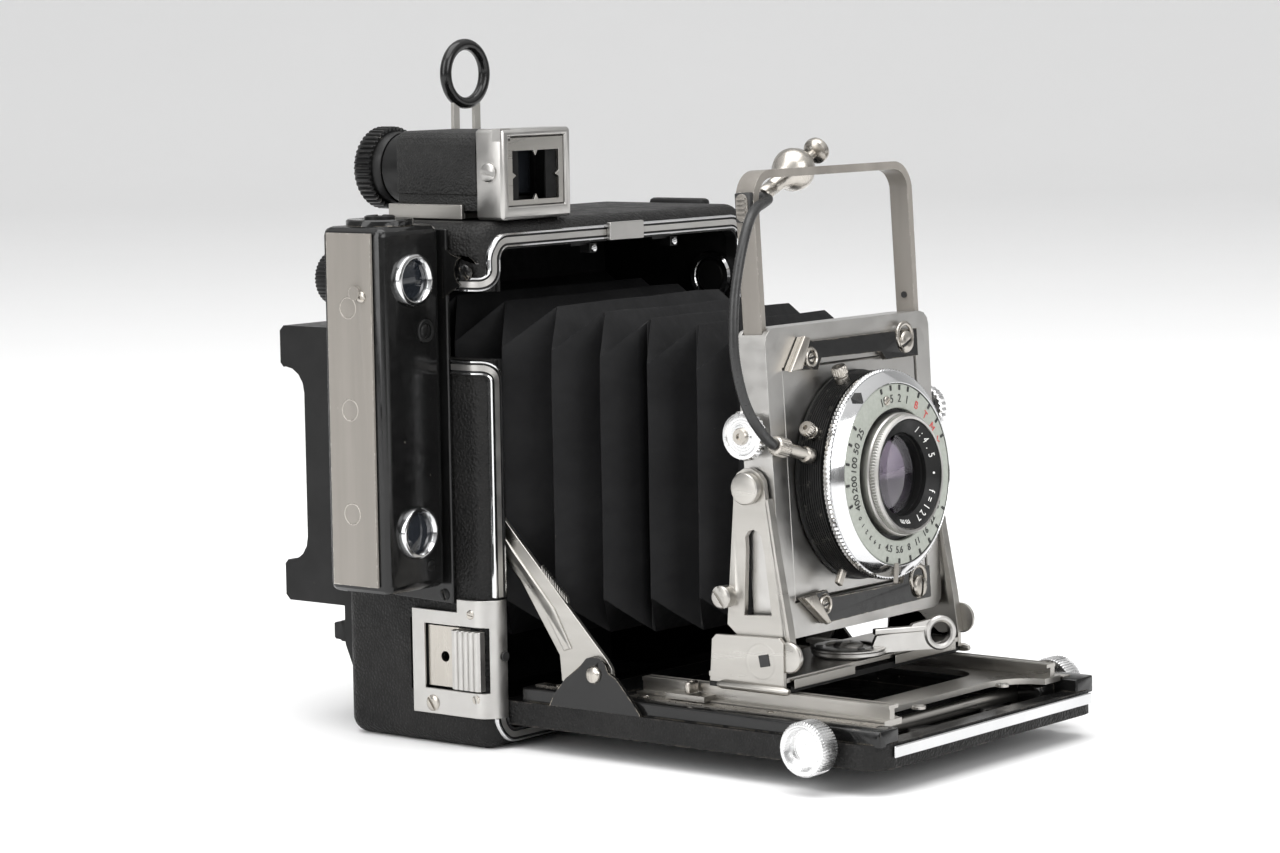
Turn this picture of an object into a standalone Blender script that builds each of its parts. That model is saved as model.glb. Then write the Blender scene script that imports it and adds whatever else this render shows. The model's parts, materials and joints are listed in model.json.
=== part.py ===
"""Folding press camera with a coupled side rangefinder, opened for use.

The rangefinder is on the -X side, the lens looks along -Y and +Z is up.  Pieces are drawn
in millimetres with y = 0 on the body's front face; the finished object's origin is on the
table, under the middle of the body.
"""
import math

import bmesh
import bpy
from mathutils import Matrix, Vector

MM = 0.001
GAP = 0.3                      # clearance between neighbouring pieces
ORIGIN = (0.0, 27.0, 0.0)      # drawn coordinates of the finished object's origin

# Body
BODY_W, BODY_D, BODY_H = 119.0, 54.0, 144.5
BODY_WALL = 5.2
EDGE_R = 5.0
FILM_W, FILM_H = 83.0, 57.0    # image area at the film plane
AXIS_Z = 75.5                  # height of the lens axis and of the film's centre
TRIM_W, TRIM_TOP, TRIM_BOTTOM, TRIM_BAND = 115.2, 141.7, 1.7, 4.2
NOTCH_LOW, NOTCH_HIGH = 107.5, 125.9

# Bed
BED_W, BED_LENGTH, BED_LOW, BED_TOP = 106.0, 124.0, 6.9, 13.5
BED_HINGE = (0.0, 1.0, 7.5)
RAIL_TOP = 17.2
TRACK_TOP = 21.7
TRACK_LOW = 16.4
PINION = (0.0, -106.3, 12.4)
PINION_R = 3.8
BRACE_PIVOT = (-31.0, 23.4)    # y, z

# Front standard: drawn upright, then leaned back about its pivot
STANDARD_TILT = 3.3            # degrees
STANDARD_PIVOT = (0.0, -82.0, 31.0)
FRAME_FRONT = -83.3
FRAME_DEPTH = 9.5
FRAME_HALF_TOP, FRAME_HALF_FOOT = 38.0, 37.2
FRAME_FOOT, FRAME_HEAD = 35.0, 117.4
BOARD = 61.8

# Shutter and lens, measured forward of the frame's front face
CASE_R = 28.0
DIAL_R = 23.0
BARREL_R = 16.6
GLASS_R = 11.0

# Rangefinder
RF_X0, RF_X1 = -85.3, -61.5
RF_Y0, RF_Y1 = 13.2, 35.5
RF_Z0, RF_Z1 = 45.0, 144.4
RF_WINDOWS = (129.8, 61.2)
RF_WINDOW_X = -73.6

# Finders
VF_AXIS = (-35.5, 158.1)       # x, z of the optical viewfinder's axis
PEEP_X, PEEP_Y, PEEP_Z = 0.7, 57.4, 183.8
PEEP_R, PEEP_WIRE_R = 8.45, 1.7
FINDER_HALF, FINDER_TOP, FINDER_FOOT = 36.6, 159.0, 90.0
FINDER_STRIP, FINDER_DEPTH = 2.2, 6.0

# Bellows: y, half width, foot and head at three places along it
BELLOWS_STATIONS = ((20.0, 49.5, 29.5, 121.5), (-30.0, 43.5, 32.6, 118.4), (-66.5, 36.5, 38.0, 112.5))

# Cable release: the route of its free stretch, from the shutter to the finder (world)
CABLE_R = 1.4
CABLE_ROUTE = (
    (-43.6, -85.0, 87.9), (-46.8, -85.2, 89.7), (-50.3, -85.5, 92.5), (-54.0, -85.6, 96.3),
    (-57.1, -85.6, 101.3), (-59.1, -85.4, 107.2), (-60.0, -85.1, 113.0), (-59.9, -84.8, 119.3),
    (-58.6, -84.3, 126.6), (-56.1, -83.7, 134.0), (-52.4, -82.9, 141.6), (-48.0, -81.7, 146.9),
    (-42.6, -79.7, 149.3), (-36.6, -77.3, 150.2), (-30.6, -74.5, 150.9), (-27.0, -71.2, 151.0),
    (-23.8, -66.8, 150.6), (-20.4, -63.2, 150.0), (-16.7, -61.9, 150.8),
)


# ---------------------------------------------------------------- helpers

def clear_scene():
    for obj in list(bpy.data.objects):
        bpy.data.objects.remove(obj, do_unlink=True)


def material(name, colour, roughness, metallic):
    mat = bpy.data.materials.new(name)
    mat.use_nodes = True
    shader = mat.node_tree.nodes["Principled BSDF"]
    shader.inputs["Base Color"].default_value = (*colour, 1.0)
    shader.inputs["Roughness"].default_value = roughness
    shader.inputs["Metallic"].default_value = metallic
    mat.diffuse_color = (*colour, 1.0)
    return mat


LEATHER = ("black_leather", (0.02, 0.02, 0.02), 0.6, 0.0)
ENAMEL = ("black_enamel", (0.01, 0.01, 0.01), 0.2, 0.0)
PAINT = ("black_paint", (0.02, 0.02, 0.02), 0.45, 0.0)
CRINKLE = ("crinkle_black", (0.03, 0.03, 0.03), 0.7, 0.0)
NICKEL = ("worn_nickel", (0.62, 0.58, 0.53), 0.3, 1.0)
SATIN = ("satin_chrome", (0.75, 0.75, 0.76), 0.35, 1.0)
CHROME = ("bright_chrome", (0.85, 0.86, 0.88), 0.08, 1.0)
ALUMINIUM = ("spun_aluminium", (0.86, 0.86, 0.86), 0.3, 1.0)
DIAL = ("dial_enamel", (0.42, 0.45, 0.42), 0.45, 0.2)
GLASS = ("coated_glass", (0.25, 0.2, 0.4), 0.05, 0.0)
CLOTH = ("bellows_cloth", (0.02, 0.02, 0.02), 0.75, 0.0)
SHEATH = ("cable_sheath", (0.03, 0.03, 0.03), 0.5, 0.0)
MATERIALS = {}


def finish(name, bm, look, pivot=None, sharp=35.0):
    """Turn a bmesh drawn in millimetres into a named object riding on a pivot empty."""
    bmesh.ops.scale(bm, vec=(MM, MM, MM), verts=bm.verts)
    bmesh.ops.recalc_face_normals(bm, faces=bm.faces)
    mesh = bpy.data.meshes.new(name)
    bm.to_mesh(mesh)
    bm.free()
    mesh.shade_smooth()
    mesh.set_sharp_from_angle(angle=math.radians(sharp))
    if look[0] not in MATERIALS:
        MATERIALS[look[0]] = material(*look)
    mesh.materials.append(MATERIALS[look[0]])
    obj = bpy.data.objects.new(name, mesh)
    bpy.context.scene.collection.objects.link(obj)
    if pivot is None:
        obj.location = -Vector(ORIGIN) * MM
    else:
        obj.parent = pivot
        obj.matrix_parent_inverse = Matrix.Translation(-Vector(pivot["design"]))
    return obj


def pivot_at(name, place, parent=None, lean=0.0):
    """An empty on a joint's axis. Pieces on it keep their drawn coordinates."""
    empty = bpy.data.objects.new(name, None)
    empty.empty_display_size = 5 * MM
    place_m = Vector(place) * MM
    empty["design"] = place_m
    empty.location = place_m
    empty.rotation_euler = (-math.radians(lean), 0.0, 0.0)
    bpy.context.scene.collection.objects.link(empty)
    if parent is None:
        empty.location = place_m - Vector(ORIGIN) * MM
    else:
        empty.parent = parent
        empty.matrix_parent_inverse = Matrix.Translation(-Vector(parent["design"]))
    return empty


def box(lo, hi, radius=0.0, segments=2):
    bm = bmesh.new()
    bmesh.ops.create_cube(bm, size=1.0)
    size = [b - a for a, b in zip(lo, hi)]
    middle = [(a + b) / 2 for a, b in zip(lo, hi)]
    bmesh.ops.scale(bm, vec=size, verts=bm.verts)
    bmesh.ops.translate(bm, vec=middle, verts=bm.verts)
    if radius:
        round_edges(bm, radius, segments)
    return bm


def round_edges(bm, radius, segments, keep=lambda edge: True):
    edges = [edge for edge in bm.edges if keep(edge)]
    bmesh.ops.bevel(bm, geom=edges, offset=radius, segments=segments,
                    profile=0.5, affect="EDGES", clamp_overlap=True)


def along(axis_name):
    """A test that keeps the edges running along one axis."""
    index = "xyz".index(axis_name)

    def test(edge):
        run = (edge.verts[0].co - edge.verts[1].co).normalized()
        return abs(run[index]) > 0.99
    return test


def prism(outline, axis_name, low, high):
    """Extrude a closed outline. It is (y, z) along x, (x, z) along y, (x, y) along z."""
    bm = bmesh.new()
    index = "xyz".index(axis_name)

    def corner(point):
        coords = list(point)
        coords.insert(index, low)
        return bm.verts.new(coords)
    face = bm.faces.new([corner(point) for point in outline])
    result = bmesh.ops.extrude_face_region(bm, geom=[face])
    moved = [item for item in result["geom"] if isinstance(item, bmesh.types.BMVert)]
    step = [0.0, 0.0, 0.0]
    step[index] = high - low
    bmesh.ops.translate(bm, vec=step, verts=moved)
    return bm


def arc(centre, radius, start, end, count):
    """Points along an arc, angles in degrees."""
    points = []
    for i in range(count):
        angle = math.radians(start + (end - start) * i / (count - 1))
        points.append((centre[0] + radius * math.cos(angle), centre[1] + radius * math.sin(angle)))
    return points


def rounded(x0, x1, z0, z1, radius, count=4):
    """A rectangle with round corners, as an outline."""
    points = arc((x1 - radius, z0 + radius), radius, -90, 0, count)
    points += arc((x1 - radius, z1 - radius), radius, 0, 90, count)
    points += arc((x0 + radius, z1 - radius), radius, 90, 180, count)
    points += arc((x0 + radius, z0 + radius), radius, 180, 270, count)
    return points


def turned(profile, centre, direction, steps=32):
    """Spin a closed profile of (radius, distance) pairs about an axis through centre."""
    bm = bmesh.new()
    verts = [bm.verts.new((radius, 0.0, distance)) for radius, distance in profile]
    for first, second in zip(verts, verts[1:] + verts[:1]):
        bm.edges.new((first, second))
    bmesh.ops.spin(bm, geom=list(bm.verts) + list(bm.edges), cent=(0, 0, 0), axis=(0, 0, 1),
                   angle=math.tau, steps=steps, use_merge=True, use_duplicate=False)
    bmesh.ops.remove_doubles(bm, verts=bm.verts, dist=1e-5)
    bmesh.ops.dissolve_degenerate(bm, edges=bm.edges, dist=1e-5)
    turn = Vector((0, 0, 1)).rotation_difference(Vector(direction)).to_matrix()
    bmesh.ops.rotate(bm, verts=bm.verts, cent=(0, 0, 0), matrix=turn)
    bmesh.ops.translate(bm, verts=bm.verts, vec=centre)
    return bm


def rod(centre, direction, radius, low, high, steps=24, edge=0.0):
    """A solid round bar; its ends may have a small chamfer."""
    profile = [(0, low), (radius - edge, low), (radius, low + edge),
               (radius, high - edge), (radius - edge, high), (0, high)]
    if not edge:
        profile = [(0, low), (radius, low), (radius, high), (0, high)]
    return turned(profile, centre, direction, steps)


def apply_boolean(obj, bm, operation, pivot):
    tool = finish(obj.name + "_" + operation.lower(), bm, PAINT, pivot)
    tool.hide_render = True
    tool.display_type = "WIRE"
    modifier = obj.modifiers.new(operation.title(), "BOOLEAN")
    modifier.operation = operation
    modifier.solver = "EXACT"
    modifier.object = tool


def cut(obj, *shapes, pivot=None):
    for bm in shapes:
        apply_boolean(obj, bm, "DIFFERENCE", pivot)


def join(obj, *shapes, pivot=None):
    for bm in shapes:
        apply_boolean(obj, bm, "UNION", pivot)


def front(offset):
    """Y of a plane this far forward of the standard's front face."""
    return FRAME_FRONT - offset


# ---------------------------------------------------------------- body

def make_body_shell():
    half = BODY_W / 2
    shell = finish("body_shell", box((-half, 0, 0), (half, BODY_D, BODY_H), EDGE_R, 3), LEATHER)
    inside = box((-half + BODY_WALL, -5, BODY_WALL), (half - BODY_WALL, BODY_D - 4.2, BODY_H - BODY_WALL))
    film = box((-FILM_W / 2, BODY_D - 6, AXIS_Z - FILM_H / 2), (FILM_W / 2, BODY_D + 2, AXIS_Z + FILM_H / 2))
    notch = box((-half - 2, -5, NOTCH_LOW), (-half + BODY_WALL + 1, 20, NOTCH_HIGH))
    pocket = box((-half - 2, 7, 15), (-half + 3, 29, 35))
    cut(shell, inside, film, notch, pocket)


def make_trim():
    """Moulded trim: a band on the front with a lip turned into the opening."""
    half = TRIM_W / 2
    inner = half - TRIM_BAND
    low, high = TRIM_BOTTOM + TRIM_BAND, TRIM_TOP - TRIM_BAND
    ring = finish("front_trim", prism(rounded(-half, half, TRIM_BOTTOM, TRIM_TOP, 7.0), "y", -1.5, -GAP), CHROME)
    lip = prism(rounded(-inner - 0.5, inner + 0.5, low - 0.3, high + 0.5, 4.0), "y", -1.4, 3.0)
    plate = box((-7.6, -2.6, 137.2), (7.6, -1.2, 142.3))
    hole = prism(rounded(-inner + 0.1, inner - 0.1, low + 0.3, high - 0.1, 3.6), "y", -1.8, 5)
    notch = box((-half - 2, -3, NOTCH_LOW), (-inner + 3, 5, NOTCH_HIGH))
    corner = box((-half - 2, -3, 8.6), (-inner + 0.5, 0, 42.0))
    bed_gap = box((-inner + 0.1, -3, low + 0.1), (inner - 0.1, 5, 20.0))
    join(ring, lip)
    cut(ring, hole, notch, corner, bed_gap)
    join(ring, plate)


def make_release():
    """Bed release: a wrapped plate on the front left corner and its ribbed slider."""
    half = BODY_W / 2
    inner = GAP
    outer = GAP + 0.8
    corner = (-half + EDGE_R, EDGE_R)
    path_out = [(-half - outer, 27.5)] + arc(corner, EDGE_R + outer, 180, 270, 6) + [(-53.4, -outer)]
    path_in = [(-53.4, -inner)] + arc(corner, EDGE_R + inner, 270, 180, 6) + [(-half - inner, 27.5)]
    plate = finish("release_plate", prism(path_out + path_in, "z", 8.9, 41.6), SATIN)
    window = box((-half - 3, 0.9, 16.0), (-half + 1.2, 23.0, 34.0))
    step = box((-half - 3, 11.0, 38.0), (-half + 3, 30, 44))
    cut(plate, window, step)
    slide = pivot_at("release_slide_axis", (-half - 1.5, 6.5, 25))
    slider = finish("release_slider", box((-half - 3.2, 1.4, 16.5), (-half - 0.4, 12.2, 33.5), 0.6), SATIN, slide)
    neck = box((-half - 1.6, 8.2, 18.0), (-half + 1.0, 12.0, 32.0))
    tail = box((-half + 0.2, 8.4, 18.2), (-half + 1.8, 17.6, 31.8))
    join(slider, neck, tail, pivot=slide)


def make_strap():
    """Leather hand strap bowed out from the right side, with a metal cap at each end."""
    side = BODY_W / 2 + GAP
    outside, inside = [], []
    low, high = 20.0, 132.0
    for i in range(13):
        t = i / 12
        bow = 12.5 * math.sin(math.pi * t)
        z = low + (high - low) * t
        outside.append((side + 3.6 + bow, z))
        inside.append((side + 1.0 + bow, z))
    strap = finish("carry_strap", prism(outside + inside[::-1], "y", 17.8, 36.2), LEATHER)
    join(strap, box((side, 16.8, 127.0), (side + 4.4, 37.2, 145.6), 1.2),
         box((side, 16.8, 9.0), (side + 4.4, 37.2, 25.0), 1.2))


# ---------------------------------------------------------------- rangefinder

def make_rangefinder():
    base = [(11.6, 40.2), (37.4, 41.0), (37.4, 143.0), (11.6, 143.0)]
    finish("rangefinder_base", prism(base, "x", -61.2, -BODY_W / 2 - GAP), ENAMEL)
    housing = finish("rangefinder_housing", box((RF_X0, RF_Y0, RF_Z0), (RF_X1, RF_Y1, RF_Z1), 2.6, 3), ENAMEL)
    cavity = box((RF_X0 + 2, RF_Y0 + 2, RF_Z0 + 2), (RF_X1 + 3, RF_Y1 - 2, RF_Z1 - 2))
    holes = [rod((RF_WINDOW_X, RF_Y0, z), (0, 1, 0), 5.3, -1, 3) for z in RF_WINDOWS]
    sight = rod((-75, RF_Y1, RF_WINDOWS[0]), (0, 1, 0), 3.2, -3, 1, 16)
    cut(housing, cavity, *holes, sight)
    for name, z in zip(("upper", "lower"), RF_WINDOWS):
        ring = [(0, -1.2), (5.0, -1.2), (5.0, 0.0), (7.1, 0.0), (7.1, 0.9), (6.4, 1.7), (5.9, 1.7), (5.2, 0.6), (0, 0.6)]
        place = (RF_WINDOW_X, RF_Y0 - GAP, z)
        finish(name + "_window", turned(ring, place, (0, -1, 0)), CHROME)
    cover = finish("rangefinder_cover", box((RF_X0 - 0.95, 16.4, 47.3), (RF_X0 - GAP, 32.5, 142.8)), NICKEL)
    join(cover, rod((RF_X0 - 0.8, 22.0, 126.8), (-1, 0, 0), 1.9, 0, 1.0, 16))
    eyepiece = [(3.0, 0.0), (7.5, 0.0), (7.5, 4.4), (6.7, 5.2), (4.4, 5.2), (3.0, 3.6)]
    finish("rangefinder_eyepiece", turned(eyepiece, (-75, RF_Y1 + GAP, RF_WINDOWS[0]), (0, 1, 0)), PAINT)
    join(housing, rod((-73.6, 24.2, RF_Z1 - 0.5), (0, 0, 1), 9.2, 0, 2.2, 32, 0.4))


# ---------------------------------------------------------------- finders on the top

def make_viewfinder():
    x, z = VF_AXIS
    top = BODY_H + GAP
    finish("accessory_shoe", box((x - 12, 16.5, top), (x + 12, 44.0, top + 1.9)), CHROME)
    housing = finish("viewfinder_housing", viewfinder_block(x), CRINKLE)
    join(housing, rod((x, 38.9, z), (0, 1, 0), 9.7, 0, 10.1, 36))
    cut(housing, box((x - 11, 6, 150.5), (x + 11, 37, 166.0)), rod((x, 49, z), (0, 1, 0), 5.6, -14, 2))
    hood = finish("viewfinder_hood", box((x - 14.7, 0.3, 144.8), (x + 14.7, 10.2, 169.5), 0.9), SATIN)
    cut(hood, box((x - 12, -1, 148.4), (x + 12, 2.6, 167.4)), box((x - 10.6, 2, 149.6), (x + 10.6, 11, 166.2)))
    mask = finish("viewfinder_mask", box((x - 11.7, 0.8, 148.7), (x + 11.7, 1.6, 167.1)), SATIN)
    cut(mask, prism(mask_opening(x, 156.8), "y", 0, 3))
    finish("viewfinder_lens", box((x - 10.6, 11.2, 150.9), (x + 10.6, 13.2, 165.6)), GLASS)
    knob = pivot_at("eyepiece_axis", (x, 50, z))
    profile = [(4.2, 0.0), (10.1, 0.0), (10.1, 2.9), (11.6, 3.3), (11.6, 8.6), (10.6, 9.4),
               (6.8, 9.4), (4.2, 6.5)]
    finish("viewfinder_eyepiece", turned(profile, (x, 49.3, z), (0, 1, 0), 36), PAINT, knob)


def viewfinder_block(x):
    """The finder's body: a block with rounded shoulders, its foot a little narrower."""
    foot = 151.6
    outline = [(x - 13.6, 147.1), (x + 13.6, 147.1), (x + 13.6, foot), (x + 14.0, foot)]
    outline += arc((x + 10.5, 165.3), 3.5, 0, 90, 4)
    outline += arc((x - 10.5, 165.3), 3.5, 90, 180, 4)
    outline += [(x - 14.0, foot), (x - 13.6, foot)]
    return prism(outline, "y", 10.5, 39.4)


def mask_opening(x, z):
    """Finder window with a small pointer in the middle of each side."""
    w, h, tip, base = 9.8, 6.7, 1.5, 0.9
    points = [(x - w, z - h), (x - base, z - h), (x, z - h + tip), (x + base, z - h), (x + w, z - h)]
    points += [(x + w, z - base), (x + w - tip, z), (x + w, z + base)]
    points += [(x + w, z + h), (x + base, z + h), (x, z + h - tip), (x - base, z + h), (x - w, z + h)]
    points += [(x - w, z + base), (x - w + tip, z), (x - w, z - base)]
    return points


def make_peep_sight():
    """Rear sight: a ring on two flat legs that slide down in a bracket on the back."""
    slots = [box((PEEP_X + side - 1.7, 56.4, 130), (PEEP_X + side + 1.7, 58.4, 150)) for side in (-4.6, 4.6)]
    bracket = finish("peep_sight_bracket", box((PEEP_X - 10, 54.3, 138.5), (PEEP_X + 10, 60.4, 144.6), 0.8), PAINT)
    cut(bracket, *slots)
    slide = pivot_at("peep_slide_axis", (PEEP_X, PEEP_Y, 144.6))
    profile = arc((PEEP_R, 0), PEEP_WIRE_R, 0, 324, 10)
    ring = finish("peep_sight", turned(profile, (PEEP_X, PEEP_Y, PEEP_Z), (0, -1, 0), 36), ENAMEL, slide)
    fork = fork_outline()
    join(ring, prism(fork, "y", PEEP_Y - 0.6, PEEP_Y + 0.6), pivot=slide)


def fork_outline():
    """Two legs joined by a bar at the foot, drawn as one U."""
    low, high = 134.4, 176.0
    out, inn = 5.9, 3.3
    x = PEEP_X
    return [(x - out, low), (x + out, low), (x + out, high), (x + inn, high), (x + inn, low + 3),
            (x - inn, low + 3), (x - inn, high), (x - out, high)]


# ---------------------------------------------------------------- back

def make_back():
    """Film back: fixed frame, two slide locks and the sprung focusing panel with its glass."""
    profile = [(54.3, 13.5), (58.9, 24.0), (58.9, 138.1), (54.3, 138.1)]
    frame = finish("back_frame", prism(profile, "x", -54, 54), PAINT)
    w, h = FILM_W / 2 + 1, FILM_H / 2 + 1
    cut(frame, box((-w, 50, AXIS_Z - h), (w, 62, AXIS_Z + h)),
        box((PEEP_X - 6.6, 56.2, 113.4), (PEEP_X + 6.6, 60, 140)))
    for name, low in (("slide_lock_top", 116.4), ("slide_lock_bottom", 24.4)):
        slide = pivot_at(name + "_axis", (-50, 60, low + 3))
        bar = finish(name, box((-53.5, 59.2, low), (53.5, 61.4, low + 6), 0.5), PAINT, slide)
        join(bar, box((-53.5, 60, low + 0.6), (-46.5, 63.2, low + 5.4)), pivot=slide)
    panel_slide = pivot_at("panel_slide_axis", (0, 59.2, AXIS_Z))
    panel = finish("focusing_panel", prism(panel_profile(), "x", -52, 52), PAINT, panel_slide)
    glass_w, glass_h = 43.5, 27.6
    cut(panel, box((-glass_w, 58, 74 - glass_h), (glass_w, 78, 74 + glass_h)), pivot=panel_slide)
    glass = box((-glass_w + 0.4, 60.4, 74 - glass_h + 0.4), (glass_w - 0.4, 62.2, 74 + glass_h - 0.4))
    finish("ground_glass", glass, GLASS, panel_slide)
    hinge = pivot_at("hood_hinge_axis", (0, 82.7, 99.2), panel_slide)
    cover = box((-45, 79.1, 48.6), (45, 81.5, 99.4), 0.7)
    finish("hood_cover", cover, PAINT, hinge)


def panel_profile():
    """Side view of the focusing panel: a spine with a rib along its top and its foot."""
    points = [(59.2, 34.5), (82.0, 34.5), (83.5, 36.0), (83.5, 45.0), (82.3, 46.2)]
    points += arc((81.7, 53.2), 7.2, 270, 180, 5)
    points += arc((81.7, 94.6), 7.2, 180, 90, 5)
    points += [(82.3, 101.6), (83.5, 102.8), (83.5, 112.0), (82.0, 113.5), (59.2, 113.5)]
    return points


# ---------------------------------------------------------------- bed

def make_bed(hinge):
    half = BED_W / 2
    outline = [(-half, 2), (-half, -BED_LENGTH + 7)]
    outline += arc((-half + 7, -BED_LENGTH + 7), 7, 180, 270, 5)
    outline += arc((half - 7, -BED_LENGTH + 7), 7, 270, 360, 5)
    outline += [(half, 2)]
    panel = finish("bed_panel", prism(outline, "z", BED_LOW, BED_TOP), LEATHER, hinge)
    bore = rod((0, PINION[1], PINION[2]), (1, 0, 0), 2.6, -60, 60, 16)
    cut(panel, box((-44.4, -118.5, 9.6), (44.4, -6, 16)), pivot=hinge)
    for sign in (-1, 1):
        join(panel, *bed_side(sign), pivot=hinge)
        x0, x1 = mirrored(37.9, 41.5, sign)
        cut(panel, box((x0, -111.3, 7.9), (x1, -101.3, 12)), pivot=hinge)
    cut(panel, bore, pivot=hinge)
    strip = box((-46.5, -BED_LENGTH - 0.9, 9.8), (48.0, -BED_LENGTH - GAP, 12.9))
    finish("bed_edge_strip", strip, CHROME, hinge)
    for name, sign in (("left", -1), ("right", 1)):
        pivot = pivot_at(name + "_brace_axis", (sign * 51, *BRACE_PIVOT), hinge)
        x0, x1 = mirrored(50.3, 51.6, sign)
        finish(name + "_brace", prism(brace_outline(), "x", x0, x1), SATIN, pivot)


def mirrored(lo, hi, sign):
    return (min(sign * lo, sign * hi), max(sign * lo, sign * hi))


def bed_side(sign):
    """One side of the bed: the fixed rail, and the brace's bracket with its rivet head."""
    x0, x1 = mirrored(42.8, 51.2, sign)
    rail = box((x0, -123.4, BED_TOP - 1), (x1, -4, RAIL_TOP), 0.5)
    x0, x1 = mirrored(51.9, 52.9, sign)
    bracket = [(-14.6, 12.5), (-46.5, 12.5), (-46.5, 14.0), (-43.5, 17.6), (-38.5, 23.0)]
    bracket += arc((BRACE_PIVOT[0], BRACE_PIVOT[1]), 5.0, 170, 30, 6)
    bracket += [(-21.0, 21.5), (-17.0, 17.0)]
    head = [(0, -0.4), (2.4, -0.4), (2.4, 0.3), (2.1, 0.9), (1.2, 1.2), (0, 1.2)]
    place = (sign * 52.9, *BRACE_PIVOT)
    return rail, prism(bracket[::-1], "x", x0, x1), turned(head, place, (sign, 0, 0), 16)


def brace_outline():
    """Strut from the bed's bracket up into the body, wide at its foot."""
    points = [(8.0, 70.4), (14.0, 64.8), (-4.5, 47.1), (-14.5, 32.5), (-18.0, 27.4), (-18.6, 20.4)]
    points += [(-25.5, 19.4)]
    points += arc(BRACE_PIVOT, 5.4, 270, 130, 6)
    return points


def make_focus_drive(hinge):
    """Pinion shaft under the track with a knurled knob at each end."""
    turn = pivot_at("focus_axis", PINION, hinge)
    radius, knob = 2.0, 7.2
    side = [(0, 59.4), (knob - 2.0, 59.4), (knob - 1.7, 62.0), (knob - 0.4, 62.0), (knob, 61.4), (knob, 55.4),
            (radius, 55.4), (radius, 41.0), (PINION_R, 41.0), (PINION_R, 38.4), (radius, 38.4)]
    profile = [(r, -x) for r, x in side] + side[::-1]
    finish("focus_shaft", turned(profile, PINION, (1, 0, 0), 36), ALUMINIUM, turn)


def track_outline(front_y, back_y):
    """Feet of the two rails, joined by a yoke whose front edge is hollowed between them."""
    rail_out, rail_in, gap_in = 42.2, 34.4, 33.5
    hollow = [(33.0, front_y + 4.0), (30.3, front_y + 7.3), (26.5, front_y + 9.5), (22.0, front_y + 10.3)]
    right = [(rail_in, front_y)] + hollow
    left = [(-x, y) for x, y in right]
    outline = [(-rail_out, front_y)] + left + right[::-1]
    outline += [(rail_out, front_y), (rail_out, back_y), (gap_in, back_y)]
    outline += arc((gap_in - 8.0, -90.3), 8.0, 0, -90, 5)
    outline += arc((8.0 - gap_in, -90.3), 8.0, -90, -180, 5)
    return outline + [(-gap_in, back_y), (-rail_out, back_y)]


def make_track(hinge):
    """Focusing track: two lipped rails joined by a yoke. The feet of the rails are the racks."""
    slide = pivot_at("track_slide_axis", (0, -80, 20), hinge)
    front_y, back_y = -118.5, -37.0
    stop_y, pad_top = -55.0, 19.2
    outline = track_outline(front_y, back_y)
    track = finish("focusing_track", prism(outline, "z", TRACK_LOW, 18.0), NICKEL, slide)
    lips = []
    for sign in (-1, 1):
        x0, x1 = mirrored(37.4, 39.5, sign)
        lips.append(box((x0, front_y + 0.2, 17.8), (x1, back_y - 0.2, TRACK_TOP - 0.4)))
        x0, x1 = mirrored(35.6, 39.9, sign)
        lips.append(box((x0, front_y + 0.2, TRACK_TOP - 1.0), (x1, back_y - 0.2, TRACK_TOP)))
        x0, x1 = mirrored(39.2, 44.8, sign)
        lips.append(box((x0, -62.0, 17.7), (x1, -49.0, pad_top)))
    join(track, *lips, pivot=slide)
    for name, sign in (("left", -1), ("right", 1)):
        stop_axis = pivot_at(name + "_stop_axis", (sign * 43, stop_y, pad_top + 0.4), slide)
        x0, x1 = mirrored(40.2, 44.6, sign)
        stop = box((x0, stop_y - 1.9, pad_top + 0.3), (x1, stop_y - 0.2, pad_top + 3.4), 0.4)
        finish("infinity_stop_" + name, stop, NICKEL, stop_axis)
    return slide


# ---------------------------------------------------------------- front standard

def make_carriage(track):
    slide = pivot_at("carriage_slide_axis", (0, -73, 23), track)
    low = TRACK_TOP + GAP
    base = finish("carriage_base", box((-39, -86.5, low), (39, -59.5, low + 1.5)), NICKEL, slide)
    join(base, box((-42.2, -86.0, low), (42.2, -62.0, low + 1.1)), pivot=slide)
    swing = finish("swing_base", box((-41.9, -86.0, 24.5), (41.9, -61.5, 25.9)), SATIN, slide)
    flanges = []
    for sign in (-1, 1):
        x0, x1 = mirrored(40.5, 41.9, sign)
        side = [(-86.2, 23.2), (-61.8, 23.2), (-62.6, 34.6), (-64.0, 36.0), (-84.8, 36.6), (-86.2, 35.2)]
        flanges.append(prism(side, "x", x0, x1))
    join(swing, *flanges, pivot=slide)
    make_lever(slide)
    return slide


def make_lever(slide):
    """Lock lever: a domed hub with an arm that ends in an upright finger ring."""
    hub = (-1.0, -78.0)
    lever_axis = pivot_at("lock_lever_axis", (*hub, 27), slide)
    lever = finish("lock_lever", rod((*hub, 26.2), (0, 0, 1), 10.2, 0, 1.8, 32, 0.5), SATIN, lever_axis)
    turn = Matrix.Rotation(math.radians(-30), 4, "Z")

    def placed(bm):
        bmesh.ops.transform(bm, matrix=turn, verts=bm.verts)
        bmesh.ops.translate(bm, verts=bm.verts, vec=(*hub, 0))
        return bm
    arm = box((3, -5.0, 26.6), (22, 4.0, 27.8))
    web = prism([(4, 27.2), (25, 26.6), (25, 35.4), (17, 34.0), (15, 32.0), (6, 31.4)], "y", -5.6, -4.2)
    ring = rod((25, -4.9, 31.0), (0, 1, 0), 4.6, -0.9, 0.9, 28, 0.2)
    join(lever, placed(arm), placed(web), placed(ring), pivot=lever_axis)
    cut(lever, placed(rod((25, -4.9, 31.0), (0, 1, 0), 3.1, -3, 3, 20)), pivot=lever_axis)


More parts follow.
